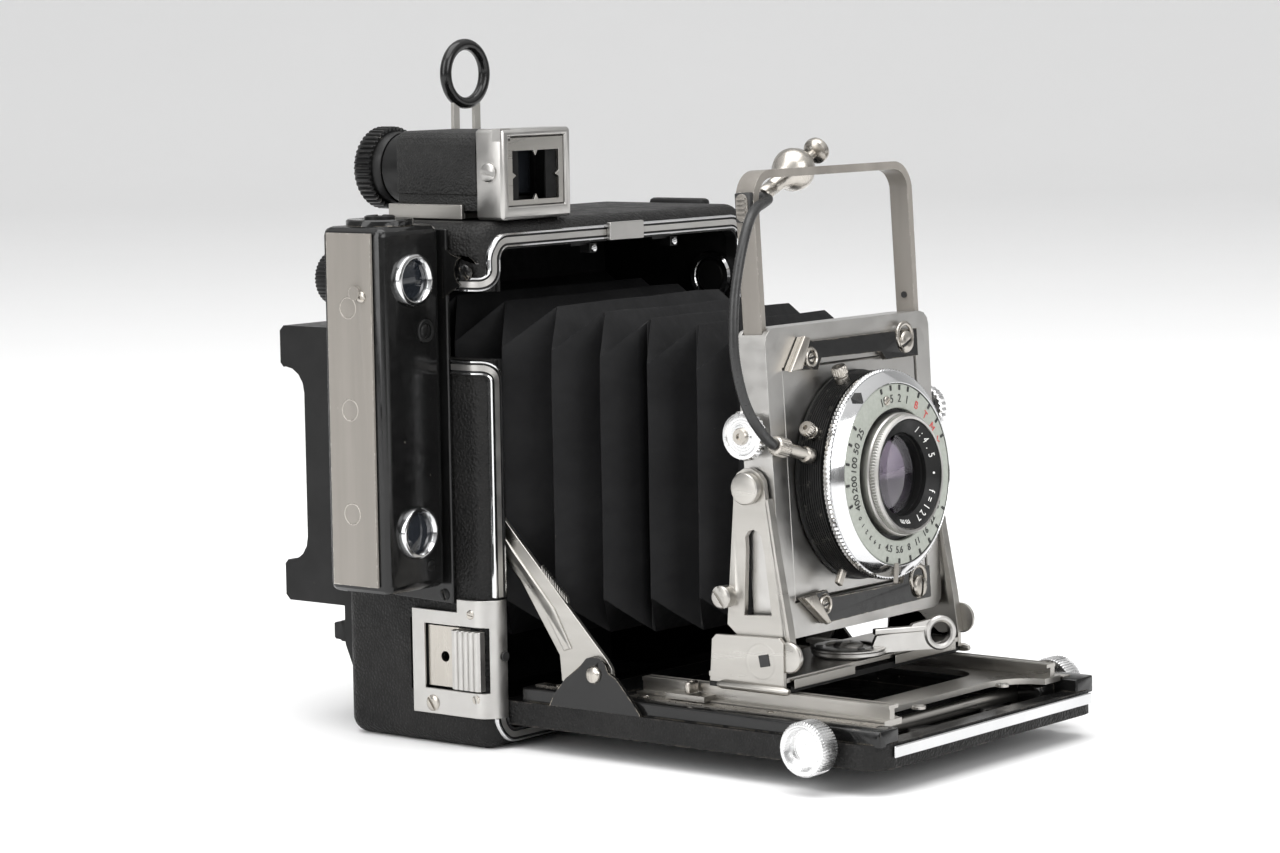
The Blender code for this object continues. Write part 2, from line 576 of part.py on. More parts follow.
def make_arms(tilt):
    """The two uprights that the lens frame slides in."""
    for name, sign in (("left", -1), ("right", 1)):
        outline = [(-67.0, 39.5), (-68.2, 48.7), (-71.3, 72.0)]
        outline += arc((-76.6, 75.8), 5.3, 20, 160, 6)
        outline += [(-82.0, 72.5), (-83.8, 57.0), (-86.3, 38.0)]
        outline += arc((-82.0, 31.0), 4.0, 170, 290, 6)
        x0, x1 = mirrored(38.4, 40.0, sign)
        arm = finish(name + "_arm", prism(outline[::-1], "x", x0, x1), SATIN, tilt)
        slot = [(-72.8, 42.0), (-74.6, 60.0)] + arc((-77.2, 62.0), 2.8, 20, 160, 5)
        slot += [(-80.6, 58.0), (-81.8, 42.0)]
        cut(arm, prism(slot[::-1], "x", x0 - 1, x1 + 1), pivot=tilt)
        join(arm, button((sign * 39.8, -76.6, 75.8), sign, 4.1, 2.0), pivot=tilt)
        if sign < 0:
            join(arm, button((-39.8, -67.5, 47.0), sign, 3.0, 2.8), pivot=tilt)
    turn = pivot_at("tilt_knob_axis", (41, -67.5, 47.0), tilt)
    finish("tilt_knob", button((40.0 + GAP, -67.5, 47.0), 1, 6.0, 3.2), NICKEL, turn)


def button(place, sign, radius, height):
    """A round head standing out to one side, with a small chamfer."""
    profile = [(0, 0.0), (radius, 0.0), (radius, height - 0.6), (radius - 0.6, height), (0, height)]
    return turned(profile, place, (sign, 0, 0), 24)


def make_lens_frame(rise):
    back = FRAME_FRONT + FRAME_DEPTH
    outline = arc((-FRAME_HALF_FOOT + 4, FRAME_FOOT + 4), 4, 180, 270, 4)
    outline += arc((FRAME_HALF_FOOT - 4, FRAME_FOOT + 4), 4, 270, 360, 4)
    outline += arc((FRAME_HALF_TOP - 4, FRAME_HEAD - 4), 4, 0, 90, 4)
    outline += arc((-FRAME_HALF_TOP + 4, FRAME_HEAD - 4), 4, 90, 180, 4)
    frame = finish("lens_frame", prism(outline, "y", FRAME_FRONT, back), SATIN, rise)
    half = BOARD / 2 + GAP
    shapes = [box((-half, FRAME_FRONT - 2, AXIS_Z - half), (half, FRAME_FRONT + 2.3, AXIS_Z + half)),
              box((-28.6, FRAME_FRONT, AXIS_Z - 28.6), (28.6, back + 2, AXIS_Z + 28.6))]
    for sign in (-1, 1):
        x0, x1 = mirrored(33.9, 36.9, sign)
        shapes.append(box((x0, -81.6, 55.0), (x1, -75.0, FRAME_HEAD + 3)))
    cut(frame, *shapes, pivot=rise)
    board = BOARD / 2
    panel = finish("lens_board", box((-board, front(-0.4), AXIS_Z - board), (board, front(-2.0), AXIS_Z + board), 0.4, 1),
                   SATIN, rise)
    cut(panel, rod((0, FRAME_FRONT, AXIS_Z), (0, 1, 0), 12.9, -5, 5, 32), pivot=rise)


def make_clips(rise):
    """Sliding clips that hold the lens board: a pierced strip above and one below."""
    low, high = front(0.3), front(1.7)
    top = [(-30.8, 105.9), (-17.5, 105.2), (-15.5, 108.2), (12.2, 107.8), (14.4, 105.4),
           (29.7, 105.4), (29.7, 112.9), (-19.0, 112.9), (-24.0, 114.4)]
    slide = pivot_at("top_clip_axis", (0, FRAME_FRONT, 110), rise)
    clip = finish("top_clip", prism(top, "y", high, low), ENAMEL, slide)
    cut(clip, prism([(-27.0, 107.0), (-20.5, 106.8), (-22.8, 111.8)], "y", high - 2, low + 2), pivot=slide)
    join(clip, screw_head(109.6), pivot=slide)
    foot = [(-30.8, 45.6), (-20.8, 37.6), (29.6, 38.4), (29.6, 47.2), (17.4, 47.2), (16.4, 43.8), (-17.5, 44.2),
            (-19.0, 46.4)]
    clip = finish("bottom_clip", prism(foot, "y", high, low), ENAMEL, rise)
    cut(clip, prism([(-25.2, 44.6), (-21.5, 39.6), (-20.5, 44.8)], "y", high - 2, low + 2), pivot=rise)
    join(clip, screw_head(42.0), pivot=rise)


def screw_head(z):
    head = [(0, 0.0), (2.5, 0.0), (2.5, 0.9), (1.4, 1.4), (0, 1.4)]
    return turned(head, (23.6, front(1.5), z), (0, -1, 0), 20)


def make_rise_knobs(rise):
    for name, sign in (("left", -1), ("right", 1)):
        place = (sign * 40.6, -77.9, 89.8)
        turn = pivot_at(name + "_rise_knob_axis", place, rise)
        knob = [(0, -2.2), (1.8, -2.2), (1.8, 0.0), (6.3, 0.0), (6.3, 2.6), (5.7, 3.2), (2.9, 3.2),
                (2.5, 3.8), (0, 3.8)]
        finish(name + "_rise_knob", turned(knob, place, (sign, 0, 0), 28), ALUMINIUM, turn)


def make_sports_finder(rise):
    """Flat strip bent into a U that slides in the lens frame."""
    slide = pivot_at("finder_slide_axis", (0, -78.3, FRAME_HEAD), rise)
    w, t = FINDER_HALF, FINDER_STRIP
    outline = [(-w, FINDER_FOOT), (-w + t, FINDER_FOOT)]
    outline += arc((-w + 8, FINDER_TOP - 8), 8 - t, 180, 90, 5)
    outline += arc((w - 8, FINDER_TOP - 8), 8 - t, 90, 0, 5)
    outline += [(w - t, FINDER_FOOT), (w, FINDER_FOOT)]
    outline += arc((w - 8, FINDER_TOP - 8), 8, 0, 90, 6)
    outline += arc((-w + 8, FINDER_TOP - 8), 8, 90, 180, 6)
    finder = finish("sports_finder", prism(outline, "y", -81.3, -81.3 + FINDER_DEPTH), NICKEL, slide)
    join(finder, box((-w - 1.4, -80.6, 144.5), (-w + 1, -76.2, 151.5), 0.4, 1), pivot=slide)


# ---------------------------------------------------------------- shutter and lens

def make_shutter(rise):
    centre = (0, FRAME_FRONT, AXIS_Z)
    ahead = (0, -1, 0)
    case = [(13.0, 0.2), (28.4, 0.2), (28.4, 1.0)]
    for i in range(4):
        base = 1.4 + i * 1.7
        case += [(CASE_R, base), (CASE_R, base + 1.1), (CASE_R - 0.5, base + 1.4)]
    case += [(CASE_R, 8.5), (13.0, 8.5)]
    shutter = finish("shutter_case", turned(case, centre, ahead, 40), PAINT, rise)
    turn = pivot_at("speed_ring_axis", (0, front(10), AXIS_Z), rise)
    ring = [(DIAL_R + GAP, 8.8), (28.0, 8.8), (28.0, 11.0), (27.2, 11.7), (DIAL_R + 0.6, 13.6), (DIAL_R + GAP, 13.6)]
    finish("speed_ring", turned(ring, centre, ahead, 40), CHROME, turn)
    dial = [(17.3, 8.8), (DIAL_R, 8.8), (DIAL_R, 13.3), (17.3, 13.9)]
    finish("dial_plate", turned(dial, centre, ahead, 40), DIAL, rise)
    barrel = [(11.3, 8.8), (17.0, 8.8), (BARREL_R, 13.2), (BARREL_R, 15.2), (15.6, 17.6), (14.7, 17.6), (11.3, 15.0)]
    finish("lens_barrel", turned(barrel, centre, ahead, 40), PAINT, rise)
    glass = [(0, 12.0), (GLASS_R, 12.0), (GLASS_R, 13.0), (8.0, 14.0), (4.0, 14.5), (0, 14.7)]
    finish("front_glass", turned(glass, centre, ahead, 32), GLASS, rise)
    finish("rear_cell", rod(centre, ahead, 12.6, -9.0, 8.0, 32, 0.5), PAINT, rise)
    lever = pivot_at("aperture_axis", (0, front(14), AXIS_Z), rise)
    finish("aperture_lever", radial_block(259, 23.8, 29.4, 1.6, 14.1, 15.1), NICKEL, lever)
    cock = pivot_at("cocking_axis", (0, front(6), AXIS_Z), rise)
    finish("cocking_lever", radial_block(236, 28.9, 33.4, 2.4, 4.4, 6.0), NICKEL, cock)
    for angle in (112, 152):
        x, z = radial_point(angle, CASE_R - 0.8)
        way = radial_point(angle, 1.0, (0, 0))
        join(shutter, rod((x, front(4.6), z), (way[0], 0, way[1]), 1.9, 0, 5.0, 16, 0.4), pivot=rise)


def radial_point(angle, radius, centre=(0, AXIS_Z)):
    turn = math.radians(angle)
    return (centre[0] + radius * math.cos(turn), centre[1] + radius * math.sin(turn))


def radial_block(angle, inner, outer, width, low, high):
    """A small finger standing out from the shutter's axis."""
    bm = box((inner, front(high), -width / 2), (outer, front(low), width / 2), 0.3, 1)
    turn = Matrix.Rotation(-math.radians(angle), 3, "Y")
    bmesh.ops.rotate(bm, verts=bm.verts, cent=(0, 0, 0), matrix=turn)
    bmesh.ops.translate(bm, verts=bm.verts, vec=(0, 0, AXIS_Z))
    return bm


# ---------------------------------------------------------------- cable release

def make_cable_release(rise):
    """Ferrule on the shutter, free cable, and the finger head tied up by the finder."""
    angle = 164.5
    x, z = radial_point(angle, 28.4 + GAP)
    way = radial_point(angle, 1.0, (0, 0))
    ferrule = [(0, 0.0), (2.2, 0.0), (2.2, 2.6), (1.7, 3.4), (1.7, 11.0), (2.5, 11.4), (2.5, 15.6),
               (2.0, 16.2), (0, 16.2)]
    finish("cable_ferrule", turned(ferrule, (x, front(5.0), z), (way[0], 0, way[1]), 16), NICKEL, rise)
    make_cable()
    start = Vector((-15.8, -61.8, 151.2))
    direction = Vector((0.916, 0.018, 0.396)).normalized()
    grip = [(0, 0.0), (2.1, 0.0), (2.1, 8.4), (3.0, 10.8), (4.8, 12.2), (6.0, 15.0),
            (6.0, 16.8), (4.8, 19.4), (3.0, 20.6), (1.7, 20.6), (1.7, 11.4), (0, 11.4)]
    head = turned(grip, start, direction, 20)
    finish("cable_head", head, NICKEL)
    plunger = [(0, 17.4), (1.3, 17.4), (1.3, 26.0), (3.4, 26.6), (3.7, 28.6), (3.0, 29.6), (0, 29.6)]
    slide = pivot_at("plunger_axis", start + direction * 23.4)
    finish("cable_plunger", turned(plunger, start, direction, 20), NICKEL, slide)


def make_cable():
    """The cable's tube, along a smooth curve through the route's points."""
    points = smooth_route(CABLE_ROUTE, 3)
    curve = bpy.data.curves.new("release_cable", "CURVE")
    curve.dimensions = "3D"
    curve.bevel_depth = CABLE_R * MM
    curve.bevel_resolution = 2
    curve.use_fill_caps = True
    spline = curve.splines.new("POLY")
    spline.points.add(len(points) - 1)
    for target, point in zip(spline.points, points):
        target.co = (*(Vector(point) * MM), 1.0)
    MATERIALS[SHEATH[0]] = material(*SHEATH)
    curve.materials.append(MATERIALS[SHEATH[0]])
    cable = bpy.data.objects.new("release_cable", curve)
    cable.location = -Vector(ORIGIN) * MM
    bpy.context.scene.collection.objects.link(cable)


def smooth_route(route, per_span):
    """Points on a Catmull-Rom curve through the route."""
    points = [Vector(point) for point in route]
    points = [2 * points[0] - points[1]] + points + [2 * points[-1] - points[-2]]
    smooth = []
    for a, b, c, d in zip(points, points[1:], points[2:], points[3:]):
        for step in range(per_span):
            t = step / per_span
            smooth.append(0.5 * (2 * b + (c - a) * t + (2 * a - 5 * b + 4 * c - d) * t * t
                                 + (3 * b - a - 3 * c + d) * t ** 3))
    smooth.append(points[-2])
    return smooth


# ---------------------------------------------------------------- bellows

def make_bellows():
    """The bellows' outer shape: a tapered box from the body to the lens frame."""
    bm = bmesh.new()
    rings = []
    for y, half, low, high in BELLOWS_STATIONS:
        corners = ((-half, low), (half, low), (half, high), (-half, high))
        rings.append([bm.verts.new((x, y, z)) for x, z in corners])
    for near, far in zip(rings, rings[1:]):
        for i in range(4):
            j = (i + 1) % 4
            bm.faces.new((near[i], near[j], far[j], far[i]))
    bm.faces.new(rings[0][::-1])
    bm.faces.new(rings[-1])
    finish("bellows", bm, CLOTH)


def main():
    clear_scene()
    make_body_shell()
    make_trim()
    make_release()
    make_strap()
    make_rangefinder()
    make_viewfinder()
    make_peep_sight()
    make_back()
    hinge = pivot_at("bed_hinge_axis", BED_HINGE)
    make_bed(hinge)
    make_focus_drive(hinge)
    track = make_track(hinge)
    carriage = make_carriage(track)
    tilt = pivot_at("tilt_axis", STANDARD_PIVOT, carriage, STANDARD_TILT)
    make_arms(tilt)
    rise = pivot_at("rise_axis", (0, -78.5, 60), tilt)
    make_lens_frame(rise)
    make_clips(rise)
    make_rise_knobs(rise)
    make_sports_finder(rise)
    make_shutter(rise)
    make_cable_release(rise)
    make_bellows()


main()
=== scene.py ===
"""Looks of a folding press camera with a side rangefinder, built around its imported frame.

Pieces are drawn in millimetres with y = 0 on the body's front face, and those of the front
standard are drawn upright. piece() leans them where needed and puts them in the frame.
"""
import json
import math

import bmesh
import bpy
from mathutils import Matrix, Vector, noise

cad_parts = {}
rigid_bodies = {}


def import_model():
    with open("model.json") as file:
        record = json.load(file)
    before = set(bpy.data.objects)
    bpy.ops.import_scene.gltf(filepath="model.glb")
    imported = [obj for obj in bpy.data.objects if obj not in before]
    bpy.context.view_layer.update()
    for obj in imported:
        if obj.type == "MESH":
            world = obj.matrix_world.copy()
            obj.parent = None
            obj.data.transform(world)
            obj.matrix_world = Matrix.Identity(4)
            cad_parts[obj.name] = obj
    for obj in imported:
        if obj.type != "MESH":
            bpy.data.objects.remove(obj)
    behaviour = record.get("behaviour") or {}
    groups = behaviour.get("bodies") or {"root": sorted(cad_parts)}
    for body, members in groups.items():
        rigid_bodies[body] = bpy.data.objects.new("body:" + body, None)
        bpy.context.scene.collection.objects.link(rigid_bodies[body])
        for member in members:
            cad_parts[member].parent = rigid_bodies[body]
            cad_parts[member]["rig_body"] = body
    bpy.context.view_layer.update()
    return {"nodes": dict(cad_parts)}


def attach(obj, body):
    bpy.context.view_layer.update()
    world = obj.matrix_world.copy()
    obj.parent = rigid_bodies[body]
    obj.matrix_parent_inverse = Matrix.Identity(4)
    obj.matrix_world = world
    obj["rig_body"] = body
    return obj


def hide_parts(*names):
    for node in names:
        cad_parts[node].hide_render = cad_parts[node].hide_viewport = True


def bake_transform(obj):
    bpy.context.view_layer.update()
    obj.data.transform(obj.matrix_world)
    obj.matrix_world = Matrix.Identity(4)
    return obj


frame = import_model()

MM = 0.001
TO_FRAME = Matrix.Scale(MM, 4) @ Matrix.Translation((0, -27, 0))
PIVOT = Vector((0, -82, 31))            # the standard leans back about this point
STANDARD_TILT = -3.3                    # degrees
LEAN = Matrix.Translation(PIVOT) @ Matrix.Rotation(math.radians(STANDARD_TILT), 4,
    "X") @ Matrix.Translation(-PIVOT)
FRONT = -83.3                           # y of the standard's front face, drawn upright
AXIS_Z = 75.5                           # height of the lens axis
PINION = (0, -106.3, 12.4)              # middle of the focus shaft
LEFT, RIGHT = (-1, 0, 0), (1, 0, 0)     # directions in the drawing
AHEAD, BACKWARD = (0, -1, 0), (0, 1, 0)
UP = (0, 0, 1)
CAMERA_PLACE = (-0.8334, -0.6969, 0.1969)
CAMERA_ANGLES = (-51.459, 6.027, -0.889)    # azimuth, elevation and roll in degrees
CAMERA_LENS = 106.76                    # mm, for a 36 mm wide sensor


# ---------------------------------------------------------------- camera

def make_camera():
    azimuth, elevation, roll = (math.radians(a) for a in CAMERA_ANGLES)
    back = Vector((math.sin(azimuth) * math.cos(elevation), -math.cos(azimuth) * math.cos(elevation),
                   math.sin(elevation)))
    right = (-back).cross(Vector((0, 0, 1))).normalized()
    up = right.cross(-back)
    across = math.cos(roll) * right + math.sin(roll) * up
    upward = -math.sin(roll) * right + math.cos(roll) * up
    camera = bpy.data.objects.new("camera", bpy.data.cameras.new("camera"))
    camera.data.lens = CAMERA_LENS
    camera.data.sensor_width = 36.0
    camera.data.clip_end = 20.0
    turn = Matrix((across, upward, back)).transposed()
    camera.matrix_world = Matrix.Translation(CAMERA_PLACE) @ turn.to_4x4()
    bpy.context.scene.collection.objects.link(camera)
    bpy.context.scene.camera = camera


make_camera()


# ---------------------------------------------------------------- materials

def node(tree, kind, inputs=None, **settings):
    made = tree.nodes.new("ShaderNode" + kind)
    for key, value in settings.items():
        setattr(made, key, value)
    for key, value in (inputs or {}).items():
        if isinstance(value, bpy.types.NodeSocket):
            tree.links.new(value, made.inputs[key])
        else:
            made.inputs[key].default_value = value
    return made


def ramp(tree, factor, stops):
    made = node(tree, "ValToRGB", {"Fac": factor})
    points = made.color_ramp.elements
    while len(points) < len(stops):
        points.new(0.5)
    for point, (place, colour) in zip(points, stops):
        point.position = place
        level = (colour,) * 3 if isinstance(colour, float) else colour
        point.color = (*level, 1.0)
    return made.outputs["Color"]


def edge_mask(tree, width):
    """Bright along convex and concave edges, dark on the flats."""
    soft = node(tree, "Bevel", {"Radius": width}, samples=6)
    true = node(tree, "NewGeometry")
    dot = node(tree, "VectorMath", {0: soft.outputs["Normal"], 1: true.outputs["Normal"]},
        operation="DOT_PRODUCT")
    return node(tree, "Math", {0: 1.0, 1: dot.outputs["Value"]}, operation="SUBTRACT").outputs[0]


def surface(name, tones, rough, mottle=60.0, grain=(), stretch=(1, 1, 1), wear=None, uv=False,
            centre=None, rings=0.0, **sockets):
    """A finish: mottled tones, uneven roughness, grain in relief, and worn or chipped edges.

    grain lists (texture, scale, height in metres); wear is (edge width, amount, colour, metal).
    """
    made = bpy.data.materials.new(name)
    made.use_nodes = True
    tree = made.node_tree
    shader = tree.nodes["Principled BSDF"]
    place = node(tree, "TexCoord").outputs["UV" if uv else "Object"]
    drawn = node(tree, "Mapping", {"Vector": place, "Scale": stretch}).outputs[0]
    broad = node(tree, "TexNoise", {"Vector": drawn, "Scale": mottle, "Detail": 5.0,
        "Roughness": 0.6}).outputs["Fac"]
    colour = ramp(tree, broad, tones)
    fine = node(tree, "TexNoise", {"Vector": drawn, "Scale": mottle * 5.3, "Detail": 4.0}).outputs["Fac"]
    roughness = ramp(tree, fine, [(0.3, rough[0]), (0.7, rough[1])])
    if wear:
        width, amount, bare, metal = wear
        scuffs = node(tree, "TexNoise", {"Vector": place, "Scale": 260.0, "Detail": 6.0,
            "Roughness": 0.7}).outputs["Fac"]
        edge = node(tree, "MapRange", {"Value": edge_mask(tree, width), "From Max": 0.25, "To Max": amount})
        total = node(tree, "Math", {0: edge.outputs[0], 1: scuffs}, operation="ADD").outputs[0]
        worn = ramp(tree, total, [(0.70, 0.0), (0.76, 1.0)])
        mixed = node(tree, "Mix", {0: worn, 6: colour}, data_type="RGBA")
        mixed.inputs[7].default_value = (*bare, 1.0)
        colour = mixed.outputs[2]
        if metal:
            tree.links.new(worn, shader.inputs["Metallic"])
    tree.links.new(colour, shader.inputs["Base Color"])
    tree.links.new(roughness, shader.inputs["Roughness"])
    normal = None
    for kind, scale, height in grain:
        if kind == "pebble":
            tex = node(tree, "TexVoronoi", {"Vector": drawn, "Scale": scale, "Smoothness": 0.6},
                feature="SMOOTH_F1")
            level = node(tree, "Math", {0: 1.0, 1: tex.outputs["Distance"]},
                operation="SUBTRACT").outputs[0]
        elif kind == "cells":
            level = node(tree, "TexVoronoi", {"Vector": place, "Scale": scale},
                feature="DISTANCE_TO_EDGE").outputs["Distance"]
            level = ramp(tree, level, [(0.0, 0.0), (0.25, 1.0)])
        else:
            vector = drawn if kind == "brushed" else place
            level = node(tree, "TexNoise", {"Vector": vector, "Scale": scale, "Detail": 5.0}).outputs["Fac"]
        normal = relief(tree, level, height, normal)
    if rings:
        about = node(tree, "Mapping", {"Vector": place, "Location": tuple(-c for c in centre)}).outputs[0]
        turned_lines = node(tree, "TexWave", {"Vector": about, "Scale": rings, "Distortion": 0.6,
            "Detail": 2.0},
                            wave_type="RINGS", rings_direction="X").outputs["Fac"]
        normal = relief(tree, turned_lines, 1.2e-5, normal)
    if normal:
        tree.links.new(normal, shader.inputs["Normal"])
    for key, value in sockets.items():
        shader.inputs[key.replace("_", " ")].default_value = value
    return made


def relief(tree, level, height, normal):
    inputs = {"Height": level, "Distance": height, "Strength": 1.0}
    if normal:
        inputs["Normal"] = normal
    return node(tree, "Bump", inputs).outputs["Normal"]


LEATHER = surface("leather", [(0.3, (0.006, 0.006, 0.006)), (0.75, (0.014, 0.0135, 0.013))], (0.42, 0.6),
    45,
                  [("pebble", 1300.0, 3.2e-4), ("noise", 2600.0, 5e-5)],
                      wear=(0.0012, 0.20, (0.06, 0.052, 0.045), False),
                  Specular_IOR_Level=0.20)
ENAMEL = surface("enamel", [(0.3, (0.004, 0.004, 0.004)), (0.8, (0.009, 0.009, 0.009))], (0.10, 0.26), 70,
                 [("noise", 900.0, 5e-6)], wear=(0.0007, 0.25, (0.40, 0.36, 0.30), True), IOR=1.5,
                 Specular_IOR_Level=0.42)
PAINT = surface("black_paint", [(0.3, (0.006, 0.006, 0.006)), (0.8, (0.013, 0.013, 0.013))], (0.3, 0.46),
    80,
                [("noise", 2200.0, 8e-6)], wear=(0.0006, 0.13, (0.20, 0.19, 0.17), True),
                    Specular_IOR_Level=0.22)
FLAT_BLACK = surface("flat_black", [(0.3, (0.004, 0.004, 0.004)), (0.8, (0.008, 0.008, 0.008))],
    (0.55, 0.8), 60,
                     [("noise", 1800.0, 2e-5)], Specular_IOR_Level=0.2)
CRINKLE = surface("crinkle", [(0.3, (0.012, 0.012, 0.012)), (0.8, (0.024, 0.024, 0.023))], (0.38, 0.55), 90,
                  [("pebble", 1600.0, 2.6e-4), ("noise", 3000.0, 5e-5)], Specular_IOR_Level=0.2)
NICKEL = surface("nickel", [(0.25, (0.38, 0.355, 0.32)), (0.8, (0.56, 0.53, 0.485))], (0.20, 0.36), 55,
                 [("brushed", 900.0, 5e-6), ("noise", 500.0, 3e-6)], (1, 1, 0.06), Metallic=1.0)
# a darker nickel tone; on the aperture lever this darkness is painted shade
DARK_NICKEL = surface("dark_nickel", [(0.25, (0.15, 0.138, 0.122)), (0.8, (0.27, 0.25, 0.225))],
    (0.28, 0.42), 55,
                     [("brushed", 1100.0, 6e-6), ("noise", 700.0, 4e-6)], (1, 1, 0.05),
                     wear=(0.0008, 0.20, (0.60, 0.57, 0.52), True), Metallic=1.0)
SATIN = surface("satin_chrome", [(0.25, (0.43, 0.42, 0.405)), (0.8, (0.57, 0.56, 0.54))], (0.28, 0.40), 40,
                [("noise", 1400.0, 2e-6)], Metallic=1.0)
PLATE = surface("plated_steel", [(0.25, (0.38, 0.365, 0.34)), (0.8, (0.53, 0.515, 0.485))], (0.26, 0.38),
    60,
                [("brushed", 700.0, 4e-6)], (0.08, 0.08, 1), Metallic=1.0)
CHROME = surface("chrome", [(0.25, (0.60, 0.605, 0.61)), (0.8, (0.72, 0.72, 0.725))], (0.06, 0.14), 50,
                 [("noise", 300.0, 3e-6)], Metallic=1.0)
DIAL = surface("dial_enamel", [(0.3, (0.34, 0.36, 0.32)), (0.75, (0.42, 0.44, 0.40))], (0.34, 0.5), 900,
               [("noise", 2500.0, 6e-6)], Metallic=0.2)
# black ink for printed marks; also painted shade for the dark inside of small holes and a recess
INK_AND_SHADE = surface("ink", [(0.3, (0.012, 0.012, 0.012)), (0.8, (0.03, 0.03, 0.03))], (0.4, 0.6), 400)
RED_INK = surface("red_ink", [(0.3, (0.50, 0.05, 0.05)), (0.8, (0.62, 0.09, 0.08))], (0.4, 0.6), 400)
WHITE_INK = surface("white_ink", [(0.3, (0.72, 0.72, 0.70)), (0.8, (0.85, 0.85, 0.83))], (0.4, 0.6), 400)
BELLOWS = surface("bellows_cloth", [(0.3, (0.007, 0.007, 0.0075)), (0.75, (0.014, 0.014, 0.0145))],
    (0.46, 0.62), 55,
                  [("noise", 1500.0, 4e-5), ("noise", 160.0, 1.6e-4)], uv=True,
                  wear=(0.0009, 0.10, (0.05, 0.048, 0.046), False), Specular_IOR_Level=0.12)
SHEATH = surface("cable_sheath", [(0.3, (0.012, 0.012, 0.012)), (0.8, (0.03, 0.03, 0.03))], (0.25, 0.45),
    200,
                 [("noise", 2400.0, 2e-5)])
COATED = surface("coated_glass", [(0.3, (0.93, 0.91, 0.95)), (0.8, (0.97, 0.95, 0.98))], (0.0, 0.03), 30,
                 IOR=1.6, Transmission_Weight=1.0)
DEEP_LENS = surface("deep_lens", [(0.3, (0.012, 0.008, 0.02)), (0.8, (0.03, 0.016, 0.035))], (0.02, 0.06),
    30,
                    IOR=2.1, Specular_Tint=(0.85, 0.62, 0.95, 1.0))
DARK_GLASS = surface("finder_glass", [(0.3, (0.012, 0.014, 0.018)), (0.8, (0.03, 0.034, 0.04))],
    (0.02, 0.08), 40,
                     IOR=1.7)
GROUND = surface("ground_glass", [(0.3, (0.30, 0.32, 0.31)), (0.8, (0.38, 0.40, 0.39))], (0.45, 0.6), 60,
                 [("noise", 4000.0, 1e-5)])


# ---------------------------------------------------------------- drawing

def merged(*parts):
    total = parts[0]
    for part in parts[1:]:
        mesh = bpy.data.meshes.new("part")
        part.to_mesh(mesh)
        part.free()
        total.from_mesh(mesh)
        bpy.data.meshes.remove(mesh)
    return total


def tinted(bm, index):
    for face in bm.faces:
        face.material_index = index
    return bm


def moved(bm, matrix):
    bmesh.ops.transform(bm, matrix=matrix, verts=bm.verts)
    return bm


def turned(angle, axis):
    """Rotation about an axis of the drawing, in degrees."""
    return Matrix.Rotation(math.radians(angle), 4, axis)


def box(lo, hi, radius=0.0, segments=3):
    bm = bmesh.new()
    bmesh.ops.create_cube(bm, size=1.0)
    size = Vector(hi) - Vector(lo)
    bmesh.ops.scale(bm, vec=size, verts=bm.verts)
    bmesh.ops.translate(bm, vec=(Vector(hi) + Vector(lo)) / 2, verts=bm.verts)
    if radius:
        bmesh.ops.bevel(bm, geom=bm.edges[:], offset=radius, segments=segments, profile=0.5, affect="EDGES")
    return bm


def prism(outline, axis, low, high, radius=0.0):
    """Extrude a closed outline. It is (y, z) along x, (x, z) along y, (x, y) along z."""
    bm = bmesh.new()
    index = "xyz".index(axis)
    rows = []
    for level in (low, high):
        row = []
        for point in outline:
            coords = list(point)
            coords.insert(index, level)
            row.append(bm.verts.new(coords))
        rows.append(row)
    count = len(outline)
    caps = [bm.faces.new(rows[0]), bm.faces.new(rows[1][::-1])]
    for i in range(count):
        j = (i + 1) % count
        bm.faces.new((rows[0][j], rows[0][i], rows[1][i], rows[1][j]))
    if radius:
        rims = {edge for cap in caps for edge in cap.edges}
        bmesh.ops.bevel(bm, geom=list(rims), offset=radius, segments=2, profile=0.5, affect="EDGES")
    bmesh.ops.recalc_face_normals(bm, faces=bm.faces)
    return bm


def arc(centre, radius, start, end, count):
    """Points along an arc, angles in degrees."""
    angles = [math.radians(start + (end - start) * i / (count - 1)) for i in range(count)]
    return [(centre[0] + radius * math.cos(a), centre[1] + radius * math.sin(a)) for a in angles]


def rounded(x0, x1, z0, z1, radius, count=8):
    points = arc((x1 - radius, z0 + radius), radius, -90, 0, count)
    points += arc((x1 - radius, z1 - radius), radius, 0, 90, count)
    points += arc((x0 + radius, z1 - radius), radius, 90, 180, count)
    return points + arc((x0 + radius, z0 + radius), radius, 180, 270, count)


def lathe(profile, centre, direction, steps=72, teeth=0, above=0.0, depth=0.3, soft=False):
    """Spin (radius, distance) pairs about an axis. Points beyond radius `above` get knurled teeth."""
    bm = bmesh.new()
    closed = profile[0][0] > 0
    if teeth:
        steps = teeth * 4
    rows = []
    for i in range(steps):
        angle = math.tau * i / steps
        bite = 0.0
        if teeth:
            bite = depth * (0.5 - 0.5 * math.cos(math.tau * i / 4)) if soft else depth * (i % 4 > 1)
        row = []
        for radius, distance in profile:
            reach = radius - bite if teeth and radius > above else radius
            row.append(bm.verts.new((reach * math.cos(angle), reach * math.sin(angle), distance)))
        rows.append(row)
    count = len(profile)
    for i in range(steps):
        a, b = rows[i], rows[(i + 1) % steps]
        for k in range(count if closed else count - 1):
            m = (k + 1) % count
            bm.faces.new((a[k], b[k], b[m], a[m]))
    bmesh.ops.remove_doubles(bm, verts=bm.verts, dist=1e-5)
    bmesh.ops.dissolve_degenerate(bm, edges=bm.edges, dist=1e-5)
    turn = Vector((0, 0, 1)).rotation_difference(Vector(direction)).to_matrix().to_4x4()
    moved(bm, Matrix.Translation(centre) @ turn)
    bmesh.ops.recalc_face_normals(bm, faces=bm.faces)
    return bm


def evaluated(obj):
    mesh = bpy.data.meshes.new_from_object(obj.evaluated_get(bpy.context.evaluated_depsgraph_get()))
    bm = bmesh.new()
    bm.from_mesh(mesh)
    bpy.data.meshes.remove(mesh)
    return bm


